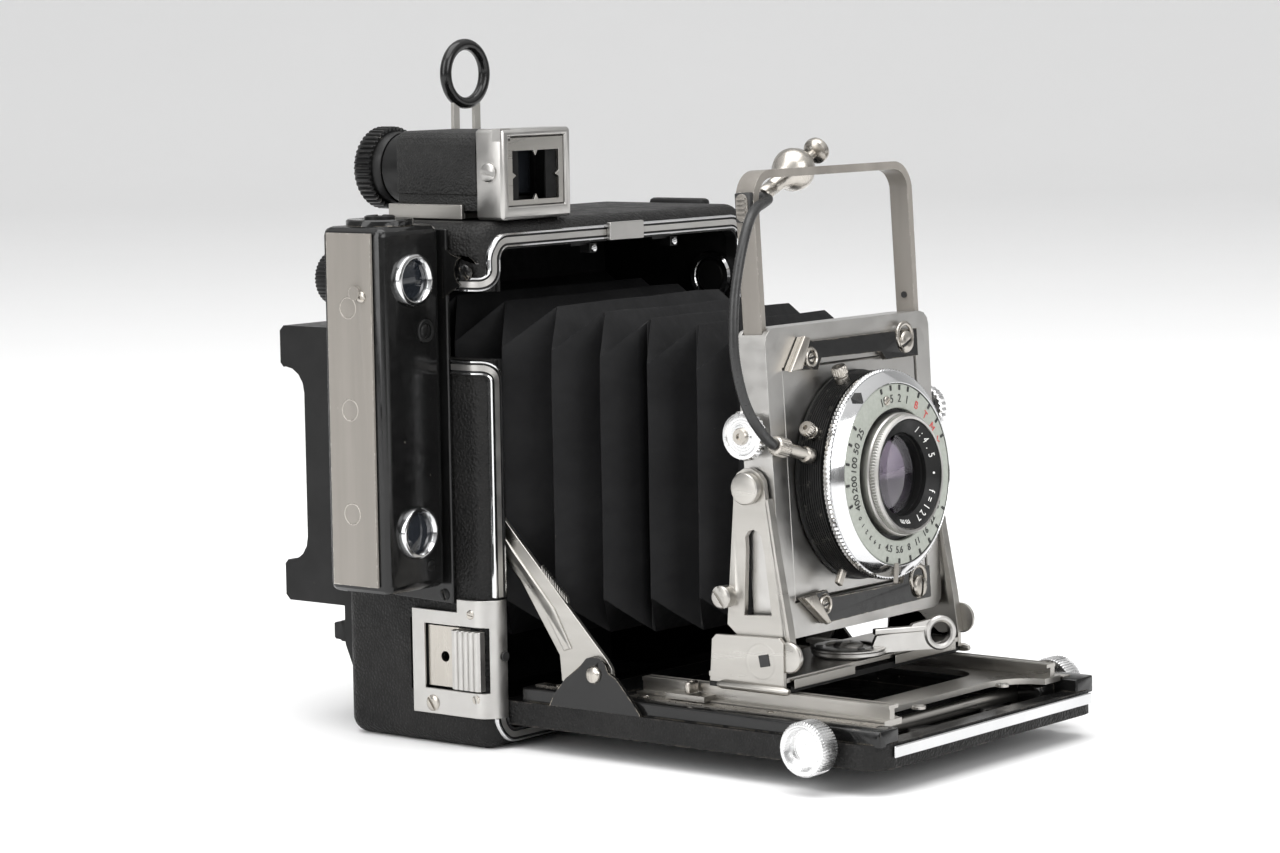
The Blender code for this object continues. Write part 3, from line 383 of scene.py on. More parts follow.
def temporary(bm):
    mesh = bpy.data.meshes.new("temporary")
    bm.to_mesh(mesh)
    bm.free()
    obj = bpy.data.objects.new("temporary", mesh)
    bpy.context.scene.collection.objects.link(obj)
    return obj


def carved(bm, *tools):
    """The shape after exact Booleans; faces left by a tool keep the tool's material."""
    base = temporary(bm)
    cutters = [temporary(tool) for tool in tools]
    for cutter in cutters:
        modifier = base.modifiers.new("cut", "BOOLEAN")
        modifier.operation = "DIFFERENCE"
        modifier.solver = "EXACT"
        modifier.object = cutter
    result = evaluated(base)
    for obj in [base] + cutters:
        bpy.data.objects.remove(obj, do_unlink=True)
    return result


def tube(points, radii, sides=14):
    """A round bar along points with a radius at each, closed at both ends."""
    bm = bmesh.new()
    rows = []
    side = None
    for i, point in enumerate(points):
        ahead = (points[min(i + 1, len(points) - 1)] - points[max(i - 1, 0)]).normalized()
        if side is None:
            side = ahead.orthogonal()
        side = (side - ahead * side.dot(ahead)).normalized()
        up = ahead.cross(side)
        rows.append([bm.verts.new(point + radii[i] * (side * math.cos(math.tau * k / sides)
                                                      + up * math.sin(math.tau * k / sides)))
                     for k in range(sides)])
    for a, b in zip(rows, rows[1:]):
        for k in range(sides):
            m = (k + 1) % sides
            bm.faces.new((a[k], a[m], b[m], b[k]))
    bm.faces.new(rows[0][::-1])
    bm.faces.new(rows[-1])
    return bm


def piece(name, bm, looks, body, replaces=(), lean=False, bevel=0.0, sharp=35.0,
          edge_look=-1, segments=2):
    """Put a drawn shape in the frame as a named piece that rides on a body."""
    if lean:
        moved(bm, LEAN)
    moved(bm, TO_FRAME)
    bmesh.ops.recalc_face_normals(bm, faces=bm.faces)
    mesh = bpy.data.meshes.new(name)
    bm.to_mesh(mesh)
    bm.free()
    mesh.shade_smooth()
    mesh.set_sharp_from_angle(angle=math.radians(sharp))
    looks = looks if isinstance(looks, (list, tuple)) else [looks]
    for look in looks:
        mesh.materials.append(look)
    obj = bpy.data.objects.new(name, mesh)
    bpy.context.scene.collection.objects.link(obj)
    if bevel:
        modifier = obj.modifiers.new("edges", "BEVEL")
        modifier.width = bevel * MM
        modifier.segments = segments
        modifier.limit_method = "ANGLE"
        modifier.angle_limit = math.radians(30)
        modifier.harden_normals = True
        modifier.material = edge_look
    if body:
        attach(obj, body)
    if replaces:
        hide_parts(*([replaces] if isinstance(replaces, str) else replaces))
    return obj


def refined(node_name, looks, bevel=0.25, pick=None, edge_look=-1, extra=(), lean=False,
            segments=2):
    """A node's own shape with finished edges. pick(centre, normal) chooses a face's look, in mm."""
    source = frame["nodes"][node_name]
    body = source["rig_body"]
    bm = bmesh.new()
    bm.from_mesh(source.data)
    bmesh.ops.remove_doubles(bm, verts=bm.verts, dist=2e-6)
    bmesh.ops.dissolve_limit(bm, angle_limit=math.radians(0.6), verts=bm.verts, edges=bm.edges)
    to_drawn = TO_FRAME.inverted()
    if lean:
        to_drawn = LEAN.inverted() @ to_drawn
    moved(bm, to_drawn)
    bm.normal_update()
    for face in bm.faces:
        face.material_index = 0
        if pick:
            face.material_index = pick(face.calc_center_median(), face.normal)
    if extra:
        bm = merged(bm, *extra)
    return piece(node_name + "_skin", bm, looks, body, node_name, lean, bevel,
        edge_look=edge_look,
                 segments=segments)


def screw(place, direction, radius, height, turn=30.0, slot_width=0.22, index=0):
    """A domed screw head with a cut slot."""
    dome = [(0, -0.4), (radius, -0.4), (radius, height * 0.45), (radius * 0.86, height * 0.8),
            (radius * 0.5, height * 0.97), (0, height)]
    head = lathe(dome, (0, 0, 0), UP, 40)
    half = radius * slot_width
    slot = box((-radius * 1.2, -half, height * 0.45), (radius * 1.2, half, height * 2))
    moved(slot, turned(turn, "Z"))
    head = tinted(carved(head, slot), index)
    lay = Vector((0, 0, 1)).rotation_difference(Vector(direction)).to_matrix().to_4x4()
    return moved(head, Matrix.Translation(place) @ lay)


def letters(text, size, matrix, index=0, depth=0.05):
    """Raised characters, laid by a matrix from the sheet they are written on."""
    curve = bpy.data.curves.new("text", "FONT")
    curve.body = text
    curve.size = size
    curve.extrude = depth
    curve.align_x = "CENTER"
    curve.align_y = "CENTER"
    obj = bpy.data.objects.new("text", curve)
    bpy.context.scene.collection.objects.link(obj)
    bm = evaluated(obj)
    bpy.data.objects.remove(obj, do_unlink=True)
    bmesh.ops.remove_doubles(bm, verts=bm.verts, dist=1e-4)
    return moved(tinted(bm, index), matrix)


# ---------------------------------------------------------------- cable release

CABLE_R = 1.4
CABLE_ROUTE = (
    (-43.6, -85.0, 87.9), (-46.8, -85.2, 89.7), (-50.3, -85.5, 92.5), (-54.0, -85.6, 96.3),
    (-57.1, -85.6, 101.3), (-59.1, -85.4, 107.2), (-60.0, -85.1, 113.0), (-59.9, -84.8, 119.3),
    (-58.6, -84.3, 126.6), (-56.1, -83.7, 134.0), (-52.4, -82.9, 141.6), (-48.0, -81.7, 146.9),
    (-42.6, -79.7, 149.3), (-36.6, -77.3, 150.2), (-30.6, -74.5, 150.9), (-27.0, -71.2, 151.0),
    (-23.8, -66.8, 150.6), (-20.4, -63.2, 150.0), (-16.7, -61.9, 150.8),
)
HEAD_START = Vector((-15.8, -61.8, 151.2))
HEAD_WAY = Vector((0.916, 0.018, 0.396)).normalized()


def smooth_route(route, per_span):
    """Points on a Catmull-Rom curve through the route."""
    points = [Vector(point) for point in route]
    points = [2 * points[0] - points[1]] + points + [2 * points[-1] - points[-2]]
    smooth = []
    for a, b, c, d in zip(points, points[1:], points[2:], points[3:]):
        for step in range(per_span):
            t = step / per_span
            smooth.append(0.5 * (2 * b + (c - a) * t + (2 * a - 5 * b + 4 * c - d) * t * t
                                 + (3 * b - a - 3 * c + d) * t ** 3))
    smooth.append(points[-2])
    return smooth


def make_cable():
    """Sheathed cable with its wound ribs, from the ferrule on the shutter to the finger head."""
    line = smooth_route(CABLE_ROUTE, 16)
    radii = [CABLE_R - (0.13 if i % 2 else 0.0) for i in range(len(line))]
    ferrule = refined("cable_ferrule", NICKEL, 0.12)
    collar = [(1.5, 11.2), (2.5, 11.2), (2.62, 11.6), (2.62, 15.4), (2.5, 15.8), (1.5, 15.8)]
    angle = math.radians(164.5)
    way = (math.cos(angle), 0, math.sin(angle))
    start = (28.7 * way[0], FRONT - 5.0, AXIS_Z + 28.7 * way[2])
    knurl = piece("ferrule_collar", lathe(collar, start, way, teeth=22, above=2.3, depth=0.22), NICKEL,
                  "front_standard", lean=True)
    grip = [(0, 0.0), (1.9, 0.0), (2.15, 0.4), (2.15, 4.0), (1.95, 4.3), (1.95, 5.0), (2.15, 5.3),
        (2.15, 7.8),
            (2.5, 9.3), (3.6, 11.2), (5.0, 12.6), (5.8, 14.6), (6.0, 16.0), (5.8, 17.3), (4.8, 19.4),
                (3.0, 20.6),
            (1.7, 20.6), (1.7, 11.4), (0, 11.4)]
    head = piece("release_head", lathe(grip, HEAD_START, HEAD_WAY, 48), NICKEL, "sports_finder_frame",
        "cable_head")
    press = [(0, 17.4), (1.3, 17.4), (1.3, 25.8), (2.6, 26.2), (3.5, 26.9), (3.7, 27.8), (3.5, 28.8),
        (2.6, 29.4),
             (0, 29.6)]
    plunger = piece("release_plunger_cap", lathe(press, HEAD_START, HEAD_WAY, 40), NICKEL,
        "release_plunger",
                    "cable_plunger")
    cable = piece("release_cable_sheath", tube(line, radii), SHEATH, None, "release_cable", sharp=80)
    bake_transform(cable)


make_cable()


# ---------------------------------------------------------------- body

def ribbon(path, profile):
    """Sweep a moulding along (point, outward normal) pairs. profile is (across, height, look)."""
    bm = bmesh.new()
    rows = []
    for i, (point, out) in enumerate(path):
        ahead = (path[min(i + 1, len(path) - 1)][0] - path[max(i - 1, 0)][0]).normalized()
        side = ahead.cross(out).normalized()
        rows.append([bm.verts.new(point + side * across + out * height) for across, height, _ in profile])
    count = len(profile)
    for a, b in zip(rows, rows[1:]):
        for k in range(count):
            m = (k + 1) % count
            bm.faces.new((a[k], b[k], b[m], a[m])).material_index = profile[k][2]
    bm.faces.new(rows[0])
    bm.faces.new(rows[-1][::-1])
    return bm


def wrapped(u, z):
    """A point of the body's front unrolled round its left edge, with its outward normal."""
    edge = 5.0
    flat = -59.5 + edge
    if u >= flat:
        return Vector((u, 0, z)), Vector((0, -1, 0))
    angle = min((flat - u) / edge, math.pi / 2)
    beyond = max(0.0, flat - u - edge * math.pi / 2)
    place = Vector((flat - edge * math.sin(angle), edge - edge * math.cos(angle) + beyond, z))
    return place, Vector((-math.sin(angle), -math.cos(angle), 0))


def make_trim():
    ridge, groove, band = 1.35, 0.55, 1.15
    profile = [(-2.05, -0.3, 0), (-2.05, 0.95, 0), (-1.8, ridge, 0), (-1.4, ridge, 1), (-1.25, groove, 1),
               (-0.95, groove, 1), (-0.8, band, 2), (0.8, band, 1), (0.95, groove, 1), (1.25, groove, 1),
               (1.4, ridge, 0), (1.8, ridge, 0), (2.05, 0.95, 0), (2.05, -0.3, 0)]
    left, right, low, high, turn = -55.5, 55.5, 3.8, 139.6, 5.2
    upper = [(-68.5 + 0.8 * i, 128.0) for i in range(12)]
    upper += arc((left - 4.0, 132.0), 4.0, -90, 0, 10)
    upper += arc((left + turn, high - turn), turn, 180, 90, 12) + arc((right - turn, high - turn), turn,
        90, 0, 12)
    upper += arc((right - turn, low + turn), turn, 0, -90, 12) + arc((left + turn, low + turn), turn, 270,
        180, 12)
    lower = [(-68.5 + 0.8 * i, 105.4) for i in range(12)] + arc((left - 4.0, 101.4), 4.0, 90, 0, 10)
    lower += [(left, 80.0), (left, 42.4)]
    looks = (CHROME, INK_AND_SHADE, SATIN)
    bm = merged(ribbon([wrapped(*p) for p in upper], profile),
        ribbon([wrapped(*p) for p in lower], profile))
    piece("front_moulding", bm, looks, "camera_body", "front_trim", sharp=50)
    lip = carved(prism(rounded(-54.2, 54.2, 5.2, 138.2, 4), "y", -0.7, 3.0),
                 prism(rounded(-53.2, 53.2, 6.2, 137.2, 3.6), "y", -2, 5),
                     box((-60, -3, 107.5), (-50, 5, 125.9)),
                 box((-53.3, -3, 4), (53.3, 5, 20)))
    piece("opening_lip", lip, PAINT, "camera_body")
    plate = box((-7.6, -2.6, 137.2), (7.6, -1.1, 142.3))
    piece("blank_name_plate", plate, SATIN, "camera_body", bevel=0.35)


def make_body():
    shell = box((-59.5, 0, 0), (59.5, 54, 144.5), 5.0, 8)
    inside = tinted(box((-54.3, -5, 5.2), (54.3, 49.8, 139.3)), 1)
    film = tinted(box((-41.5, 48, 47.0), (41.5, 56, 104.0)), 1)
    notch = box((-62, -5, 107.5), (-53.0, 20, 125.9))
    pocket = tinted(box((-62, 7, 15), (-56.5, 29, 35)), 1)
    piece("leather_body", carved(shell, inside, film, notch, pocket), (LEATHER, FLAT_BLACK), "camera_body",
          "body_shell", bevel=0.3)
    refined("carry_strap", (LEATHER, PAINT), 0.5, lambda c, n: int(c.z > 126.5 or c.z < 25.5))
    # what shows inside the opening: two catches under the roof and a round socket on the far wall
    catches = []
    for x in (-14.5, 22.0):
        catches += [box((x - 5, 2, 136.2), (x + 3, 7, 139.2)),
            box((x + 2, 1, 134.0), (x + 5.2, 4.5, 136.6)),
                    tinted(screw((x + 3.6, 0.9, 135.3), AHEAD, 1.1, 0.5, 10), 1)]
    piece("roof_catches", merged(*catches), (PAINT, CHROME), "camera_body", bevel=0.3)
    ring = [(5.0, 0), (7.4, 0), (7.4, 2.4), (6.8, 3.0), (5.4, 3.0), (5.0, 2.4)]
    disc = [(0, 0), (4.9, 0), (4.9, 2.0), (4.3, 2.6), (0, 2.6)]
    socket = merged(lathe(ring, (54.2, 8, 123.5), LEFT), tinted(lathe(disc, (54.2, 8, 123.5), LEFT), 1))
    piece("inner_socket", socket, (CHROME, PAINT), "camera_body")


def make_release():
    refined("release_plate", SATIN, 0.3)
    inlay = box((-59.3, 3.0, 16.6), (-58.0, 22.6, 33.4))
    inlay = carved(inlay, lathe([(0, -3), (1.5, -3), (1.5, 3), (0, 3)], (-59, 16.5, 25), RIGHT, 32))
    piece("release_window_floor", inlay, NICKEL, "camera_body")
    outline = [(-60.0, 1.4), (-62.1, 1.4)]
    for i in range(5):
        y = 2.0 + i * 1.9
        outline += [(-62.6, y), (-62.7, y + 0.3), (-62.7, y + 1.0), (-62.6, y + 1.3), (-62.0, y + 1.45)]
    outline += [(-62.0, 11.8), (-60.0, 12.2)]
    slider = merged(prism(outline[::-1], "z", 16.8, 33.2), box((-60.8, 8.2, 18.0), (-59.4, 12.0, 32.0)))
    piece("ribbed_slider", slider, SATIN, "bed_release", "release_slider", bevel=0.18)
    heads = [screw((-60.4, 20.2, 11.9), LEFT, 2.3, 0.9, 35),
        screw((-60.4, 6.0, 37.6), (-1, -0.05, 0), 1.3, 0.6, 80),
             screw((-60.2, 4.6, 14.2), (-1, -0.1, 0), 1.3, 0.6, 20)]
    # painted shade: a black disc stands in for the dark inside of a small hole in the body front
    hole_shade = tinted(lathe([(0, 0), (1.4, 0), (1.4, 0.4), (0, 0.4)], (-54.9, -1.3, 26), AHEAD, 32), 1)
    piece("release_screws", merged(*heads, hole_shade), (NICKEL, INK_AND_SHADE), "camera_body")


# ---------------------------------------------------------------- rangefinder

def make_rangefinder():
    refined("rangefinder_base", ENAMEL, 0.5)
    refined("rangefinder_housing", ENAMEL, 0.35)
    rims = [tinted(lathe([(2.7, -0.2), (3.0, -0.2), (3.0, 0.07), (2.85, 0.1), (2.7, 0.07)],
        (-86.2, 25, z), LEFT, 48), 1)
            for z in (122.7, 95.1, 66.9)]
    refined("rangefinder_cover", (DARK_NICKEL, NICKEL), 0.25, lambda c, n: 0,
            extra=rims + [tinted(screw((-86.3, 19.9, 125.8), LEFT, 1.5, 0.7, 60), 1)])
    for name, z in (("upper", 129.8), ("lower", 61.2)):
        rim = [(5.0, -1.2), (7.15, -1.2), (7.15, 1.0), (6.9, 1.5), (6.3, 1.75), (5.9, 1.7), (5.5, 1.1),
            (5.2, 0.4)]
        pane = [(0, -1.1), (5.05, -1.1), (5.05, 0.1), (3.4, 0.45), (1.6, 0.6), (0, 0.65)]
        place = (-73.6, 12.9, z)
        bm = merged(lathe(rim, place, AHEAD, 96), tinted(lathe(pane, place, AHEAD, 64), 1))
        piece(name + "_window_ring", bm, (CHROME, DARK_GLASS), "camera_body", name + "_window")
    eyepiece = [(3.0, 0.0), (7.5, 0.0), (7.5, 4.2), (7.2, 4.9), (6.6, 5.2), (4.4, 5.2), (3.0, 3.6)]
    glass = [(0, 0.5), (3.05, 0.5), (3.05, 2.4), (0, 2.8)]
    place = (-75, 35.8, 129.8)
    bm = merged(lathe(eyepiece, place, BACKWARD, teeth=40, above=7.0, depth=0.25),
                tinted(lathe(glass, place, BACKWARD), 1))
    piece("rangefinder_eye_cup", bm, (PAINT, DARK_GLASS), "camera_body", "rangefinder_eyepiece")
    little = [screw((-68.7, 13.3, 115.7), AHEAD, 2.0, 0.7, 70),
        screw((-73.6, 24.2, 146.4), UP, 4.2, 0.8, 35),
              screw((-68.0, 13.4, 51.5), AHEAD, 1.5, 0.5, 15)]
    little += [screw((-61.1, y, z), LEFT, 1.7, 0.6, a) for y, z, a in ((14.6, 42.6, 20), (34.4, 42.8, 75))]
    collar = [(2.1, -0.3), (3.2, -0.3), (3.2, 0.5), (2.9, 0.75), (2.1, 0.6)]
    piece("rangefinder_screws", merged(*little, lathe(collar, (-68.7, 13.2, 115.7), AHEAD, 40)), PAINT,
          "camera_body")
    # a small ear with its screw beside the upper window, behind the notch
    ear = prism(arc((4.5, 131.5), 4.2, -60, 150, 10) + [(9.5, 136.0), (13.0, 138), (13.0, 124.0)], "x",
        -61.3, -60.0)
    ear = merged(ear, tinted(screw((-61.3, 4.8, 131.3), LEFT, 2.2, 0.8, 40), 0))
    piece("rangefinder_ear", ear, ENAMEL, "camera_body", bevel=0.25)


# ---------------------------------------------------------------- finders on the top

def make_viewfinder():
    x, z = -35.5, 158.1
    refined("accessory_shoe", PLATE, 0.3,
            extra=[box((x + a, 15.0, 144.8), (x + a + 1.3, 42.0, 148.9)) for a in (-15.0, 13.7)])
    refined("viewfinder_housing", (CRINKLE, FLAT_BLACK, PAINT), 0.5, lambda c, n: 2 if c.y > 39.45 else
            int(c.y < 37.05 and abs(c.x - x) < 11.05 and 150.4 < c.z < 166.05))
    refined("viewfinder_hood", (SATIN, FLAT_BLACK), 0.55, lambda c,
        n: int(2.61 < c.y < 10.1 and abs(c.x - x) < 10.7
            and 149.5 < c.z < 166.3), segments=3)
    refined("viewfinder_mask", PLATE, 0.12)
    refined("viewfinder_lens", DARK_GLASS, 0.8)
    grip = [(4.2, 3.1), (11.3, 3.1), (11.6, 3.5), (11.6, 8.3), (11.3, 8.8), (10.4, 9.4), (6.8, 9.4),
        (6.2, 8.6), (4.2, 6.5)]
    sleeve = [(4.2, 0.0), (9.9, 0.0), (10.1, 0.3), (10.1, 3.2), (4.2, 3.2)]
    glass = [(0, 1.0), (4.25, 1.0), (4.25, 5.0), (2.2, 5.7), (0, 5.9)]
    place = (x, 49.3, z)
    bm = merged(lathe(grip, place, BACKWARD, teeth=44, above=11.0, depth=0.75),
        lathe(sleeve, place, BACKWARD),
                tinted(lathe(glass, place, BACKWARD), 1))
    piece("finder_eye_cup", bm, (PAINT, DARK_GLASS), "finder_eyepiece", "viewfinder_eyepiece")
    clip = box((x - 14.9, 0.8, 166.3), (x - 10.5, 3.6, 169.75))
    lug = merged(screw((x - 14.6, 5.2, 157.8), LEFT, 2.6, 1.2, 80),
                 lathe([(0, -1), (3.0, -1), (3.0, 0.2), (0, 0.2)], (x - 14.6, 5.2, 157.8), LEFT, 40))
    piece("hood_fittings", merged(clip, lug), SATIN, "camera_body", bevel=0.2)
    post = box((x + 5.2, 1.7, 150.2), (x + 9.6, 2.2, 163.4))
    piece("mask_shutter", merged(post, box((x - 9.5, 1.7, 150.2), (x - 6.4, 2.2, 163.4))), FLAT_BLACK,
        "camera_body")


def make_peep_sight():
    x, y, z = 0.7, 57.4, 183.8
    refined("peep_sight_bracket", PAINT, 0.4,
            extra=[screw((x, 60.3, 141.5), BACKWARD, 1.6, 0.6, 20)])
    ring = [(8.45 + 1.7 * math.cos(math.tau * i / 20),
        1.7 * math.sin(math.tau * i / 20)) for i in range(20)]
    fork = [(x - 5.9, 134.4), (x + 5.9, 134.4), (x + 5.9, 175.9), (x + 3.3, 175.9), (x + 3.3, 137.4),
        (x - 3.3, 137.4),
            (x - 3.3, 175.9), (x - 5.9, 175.9)]
    bm = merged(lathe(ring, (x, y, z), AHEAD, 96), tinted(prism(fork, "y", y - 0.6, y + 0.6), 1))
    piece("rear_sight_ring", bm, (ENAMEL, PLATE), "rear_sight", "peep_sight", bevel=0.15)


# ---------------------------------------------------------------- back

def make_back():
    refined("back_frame", PAINT, 0.5,
            extra=[screw((sx * 50, 58.8, z), BACKWARD, 1.9, 0.6, 25 * sx + z) for sx in (-1,
                1) for z in (34.0, 112.5)])
    for name, z in (("slide_lock_top", 119.4), ("slide_lock_bottom", 27.4)):
        grips = [box((-53.2 + 1.3 * i, 63.0, z - 2.1), (-52.6 + 1.3 * i, 63.8, z + 2.1)) for i in range(5)]
        refined(name, PAINT, 0.35, extra=grips)
    ribs = []
    for side in (-1, 1):
        ribs.append(box((side * 47.6 - 1.2, 63, 60), (side * 47.6 + 1.2, 66.6, 88), 0.5, 2))
        ribs.append(screw((side * 47.6, 83.4, 107.4), BACKWARD, 2.2, 0.7, 40))
        ribs.append(screw((side * 47.6, 83.4, 40.6), BACKWARD, 2.2, 0.7, 110))
    refined("focusing_panel", PAINT, 0.6, extra=ribs)
    lines = [box((x - 0.12, 62.1, 47), (x + 0.12, 62.3, 101)) for x in (-41, -20.5, 0, 20.5, 41)]
    lines += [box((-43, 62.1, z - 0.12), (43, 62.3, z + 0.12)) for z in (52, 63, 74, 85, 96)]
    refined("ground_glass", (GROUND, INK_AND_SHADE), 0.3, extra=[tinted(line, 1) for line in lines])
    raised = box((-38, 81.1, 54), (38, 82.4, 93), 1.0, 3)
    knuckles = [lathe([(0, 0), (1.5, 0), (1.5, 12), (0, 12)], (x, 82.1, 99.2), RIGHT, 32) for x in (-42,
        -6, 30)]
    refined("hood_cover", PAINT, 0.4, extra=[raised] + knuckles
            + [box((-6, 81.1, 48.4), (6, 83.1, 51.0), 0.4, 2)])


# ---------------------------------------------------------------- bellows

# y, half width and head of each fold line, from the body forward: on the first of a pair the top
# stands out and the sides fall in, and on the second the other way round
FOLDS = (
    (41.0, 44.0, 124.4, 33.0, 53.6, 112.4), (25.5, 41.5, 123.4, 17.5, 52.0, 111.4),
    (9.9, 39.0, 122.3, 2.0, 50.0, 110.5), (-6.6, 36.5, 121.3, -13.4, 47.5, 109.8),
        (-21.5, 34.0, 119.8, -28.2, 45.0, 108.5),
    (-35.5, 31.5, 118.7, -42.5, 42.5, 107.1), (-49.8, 29.0, 117.3, -57.2, 40.0, 105.9),
)
CHAIN = (("camera_body", "bed", -13.0), ("bed", "track", -35.0), ("track", "carriage", -49.5),
         ("carriage", "uprights", -57.0), ("uprights", "front_standard", None))


def bellows_sheet():
    """Rings of four corners joined by pleats; each panel is cut up so that it can sag a little."""
    rings = []
    for fold in FOLDS:
        top_y, top_half, top_z, side_y, side_half, side_z = fold
        rings.append((top_y, top_half, top_z - AXIS_Z))
        rings.append((side_y, side_half, side_z - AXIS_Z))
    rings.append((-63.5, 29.5, 39.5))
    bm = bmesh.new()
    rows = []
    for y, half, rise in rings:
        rows.append([bm.verts.new((sx * half, y, AXIS_Z + sz * rise)) for sx,
            sz in ((-1, -1), (1, -1), (1, 1), (-1, 1))])
    end = [LEAN @ Vector((sx * 30.0, FRONT + 10.3, AXIS_Z + sz * 30.0)) for sx,
        sz in ((-1, -1), (1, -1), (1, 1), (-1, 1))]
    rows.append([bm.verts.new(point) for point in end])
    for a, b in zip(rows, rows[1:]):
        for k in range(4):
            m = (k + 1) % 4
            bm.faces.new((a[k], a[m], b[m], b[k]))
    inner = [edge for edge in bm.edges if len(edge.link_faces) == 2]
    bmesh.ops.bevel(bm, geom=inner, offset=0.75, segments=2, profile=0.6, affect="EDGES",
        clamp_overlap=True)
    for step in range(1, 9):
        for level, way in ((-45 + 10.0 * step, RIGHT), (AXIS_Z - 45 + 10.0 * step, UP)):
            plane = Vector((level, 0, 0)) if way[0] else Vector((0, 0, level))
            bmesh.ops.bisect_plane(bm, geom=bm.verts[:] + bm.edges[:] + bm.faces[:], plane_co=plane,
                plane_no=way)
    for _, _, border in CHAIN[:-1]:
        bmesh.ops.bisect_plane(bm, geom=bm.verts[:] + bm.edges[:] + bm.faces[:], plane_co=(0, border, 0),
                               plane_no=BACKWARD)
    uv = bm.loops.layers.uv.new("cloth")
    for vert in bm.verts:
        sway = noise.noise_vector(vert.co * 0.045)
        vert.co += Vector((sway.x * 0.5, 0, sway.z * 0.5)) * min(1.0, max(0.0, (vert.co.y + 62) / 8))
    for face in bm.faces:
        upright = abs(face.normal.x) > abs(face.normal.z)
        for loop in face.loops:
            co = loop.vert.co
            loop[uv].uv = ((co.y * 1.5) * MM, (co.z if upright else co.x + 200) * MM)
    return bm


def make_bellows():
    whole = bellows_sheet()
    mesh = bpy.data.meshes.new("whole")
    whole.to_mesh(mesh)
    whole.free()
    far = 60.0
    for i, (behind, ahead, border) in enumerate(CHAIN):
        near = -200.0 if border is None else border
        bm = bmesh.new()
        bm.from_mesh(mesh)
        other = [face for face in bm.faces if not near < face.calc_center_median().y < far]
        bmesh.ops.delete(bm, geom=other, context="FACES")
        part = piece(f"bellows_{i + 1}", bm, BELLOWS, None, "bellows" if i == 0 else (), sharp=60)
        thick = part.modifiers.new("cloth", "SOLIDIFY")
        thick.thickness = 0.5 * MM
        thick.offset = -1.0
        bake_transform(part)
        far = near
    bpy.data.meshes.remove(mesh)


# ---------------------------------------------------------------- bed

def spun(name, centre, tone=(0.80, 0.80, 0.80)):
    """Turned aluminium with its tool marks round the piece's own axis."""
    low = tuple(c * 0.9 for c in tone)
    place = TO_FRAME @ Vector(centre)
    return surface(name, [(0.3, low), (0.8, tone)], (0.2, 0.32), 120, centre=place, rings=420.0,
        Metallic=1.0)


def make_bed():
    def look(c, n):
        if abs(c.x) > 52.93 and c.z > 18:
            return 2
        outside = c.z < 13.4 and (abs(c.x) > 52.5 or c.y < -116.6 and abs(n.z) < 0.7 or n.z < -0.9 and c.z < 7.2)
        return 0 if outside and abs(c.x) < 53.2 and not (abs(c.x) > 51.85 and c.z > 12.6) else 1
    bosses = [tinted(lathe([(0, 0), (5.2, 0), (5.2, 1.0), (4.6, 1.6), (0, 1.6)], (x, y, 9.6), UP, 48), 1)
              for x, y in ((-14, -112), (22, -111))]
    bosses.append(tinted(box((36.5, -116, 9.6), (43.5, -108, 15.5), 0.8, 2), 1))
    bosses += [tinted(box((s * 44.8 - 1.8, -119.0, 17.1), (s * 44.8 + 1.8, -5.0, 17.45)), 2) for s in (-1,
        1)]
    bosses += [tinted(screw((s * 44.8, y, 17.4), UP, 1.0, 0.3, 30 * s + y), 2) for s in (-1, 1)
               for y in (-114, -84, -42, -12)]
    refined("bed_panel", (LEATHER, ENAMEL, NICKEL), 0.6, look, extra=bosses)
    refined("bed_edge_strip", CHROME, 0.45, segments=3)
    shaft = lathe([(0, -55.6), (2.0, -55.6), (2.0, 55.6), (0, 55.6)], PINION, RIGHT, 32)
    gears = [lathe([(1.5, x), (3.8, x), (3.8, x + 2.6), (1.5, x + 2.6)], PINION, RIGHT, teeth=14,
                   above=2.6, depth=0.8) for x in (-41.0, 38.4)]
    knob = [(0, 59.5), (2.4, 59.5), (5.0, 59.5), (5.25, 59.9), (5.35, 61.7), (5.7, 62.0), (6.7, 61.9),
        (7.2, 61.3),
            (7.2, 56.0), (6.8, 55.4), (0, 55.4)]
    looks = [spun("spun_knob", PINION), PLATE]
    knobs = [lathe(knob, PINION, (side, 0, 0), teeth=52, above=6.9, depth=0.45) for side in (-1, 1)]
    piece("focusing_knobs", merged(*knobs, *[tinted(b, 1) for b in [shaft] + gears]), looks, "focus_drive",
          "focus_shaft")
    for name, side in (("left", -1), ("right", 1)):
        rib = [(3.5, 61.4), (5.8, 59.4), (-13.5, 39.2), (-19.8, 28.8), (-22.4, 29.6), (-16.6, 40.0)]
        x0, x1 = sorted((side * 51.2, side * 52.15))
        teeth = []
        for i in range(12):
            t = i / 12
            y, z = -11.9 - 9.2 * t, 51.2 - 8.3 * t
            teeth.append(prism([(y, z - 1.2), (y - 0.75, z - 1.9), (y - 0.2, z + 0.5)], "x",
                *sorted((side * 50.3, side * 51.6))))
        refined(name + "_brace", PLATE, 0.22, extra=[prism(rib, "x", x0, x1, 0.3)] + teeth)


def make_track():
    extra = []
    for side in (-1, 1):
        for inner in (36.2, 38.9):
            a, b = sorted((side * inner, side * (inner + 0.4)))
            extra.append(box((a, -118.0, 21.6), (b, -37.6, 21.85)))
        extra.append(screw((side * 20.0, -114.0, 18.0), UP, 1.9, 0.5, 30 * side))
    refined("focusing_track", PLATE, 0.22, extra=extra)
    for name, side in (("left", -1), ("right", 1)):
        head = screw((side * 42.4, -56.05, 22.6), UP, 0.7, 0.3, 20)
        refined("infinity_stop_" + name, NICKEL, 0.3, extra=[head])


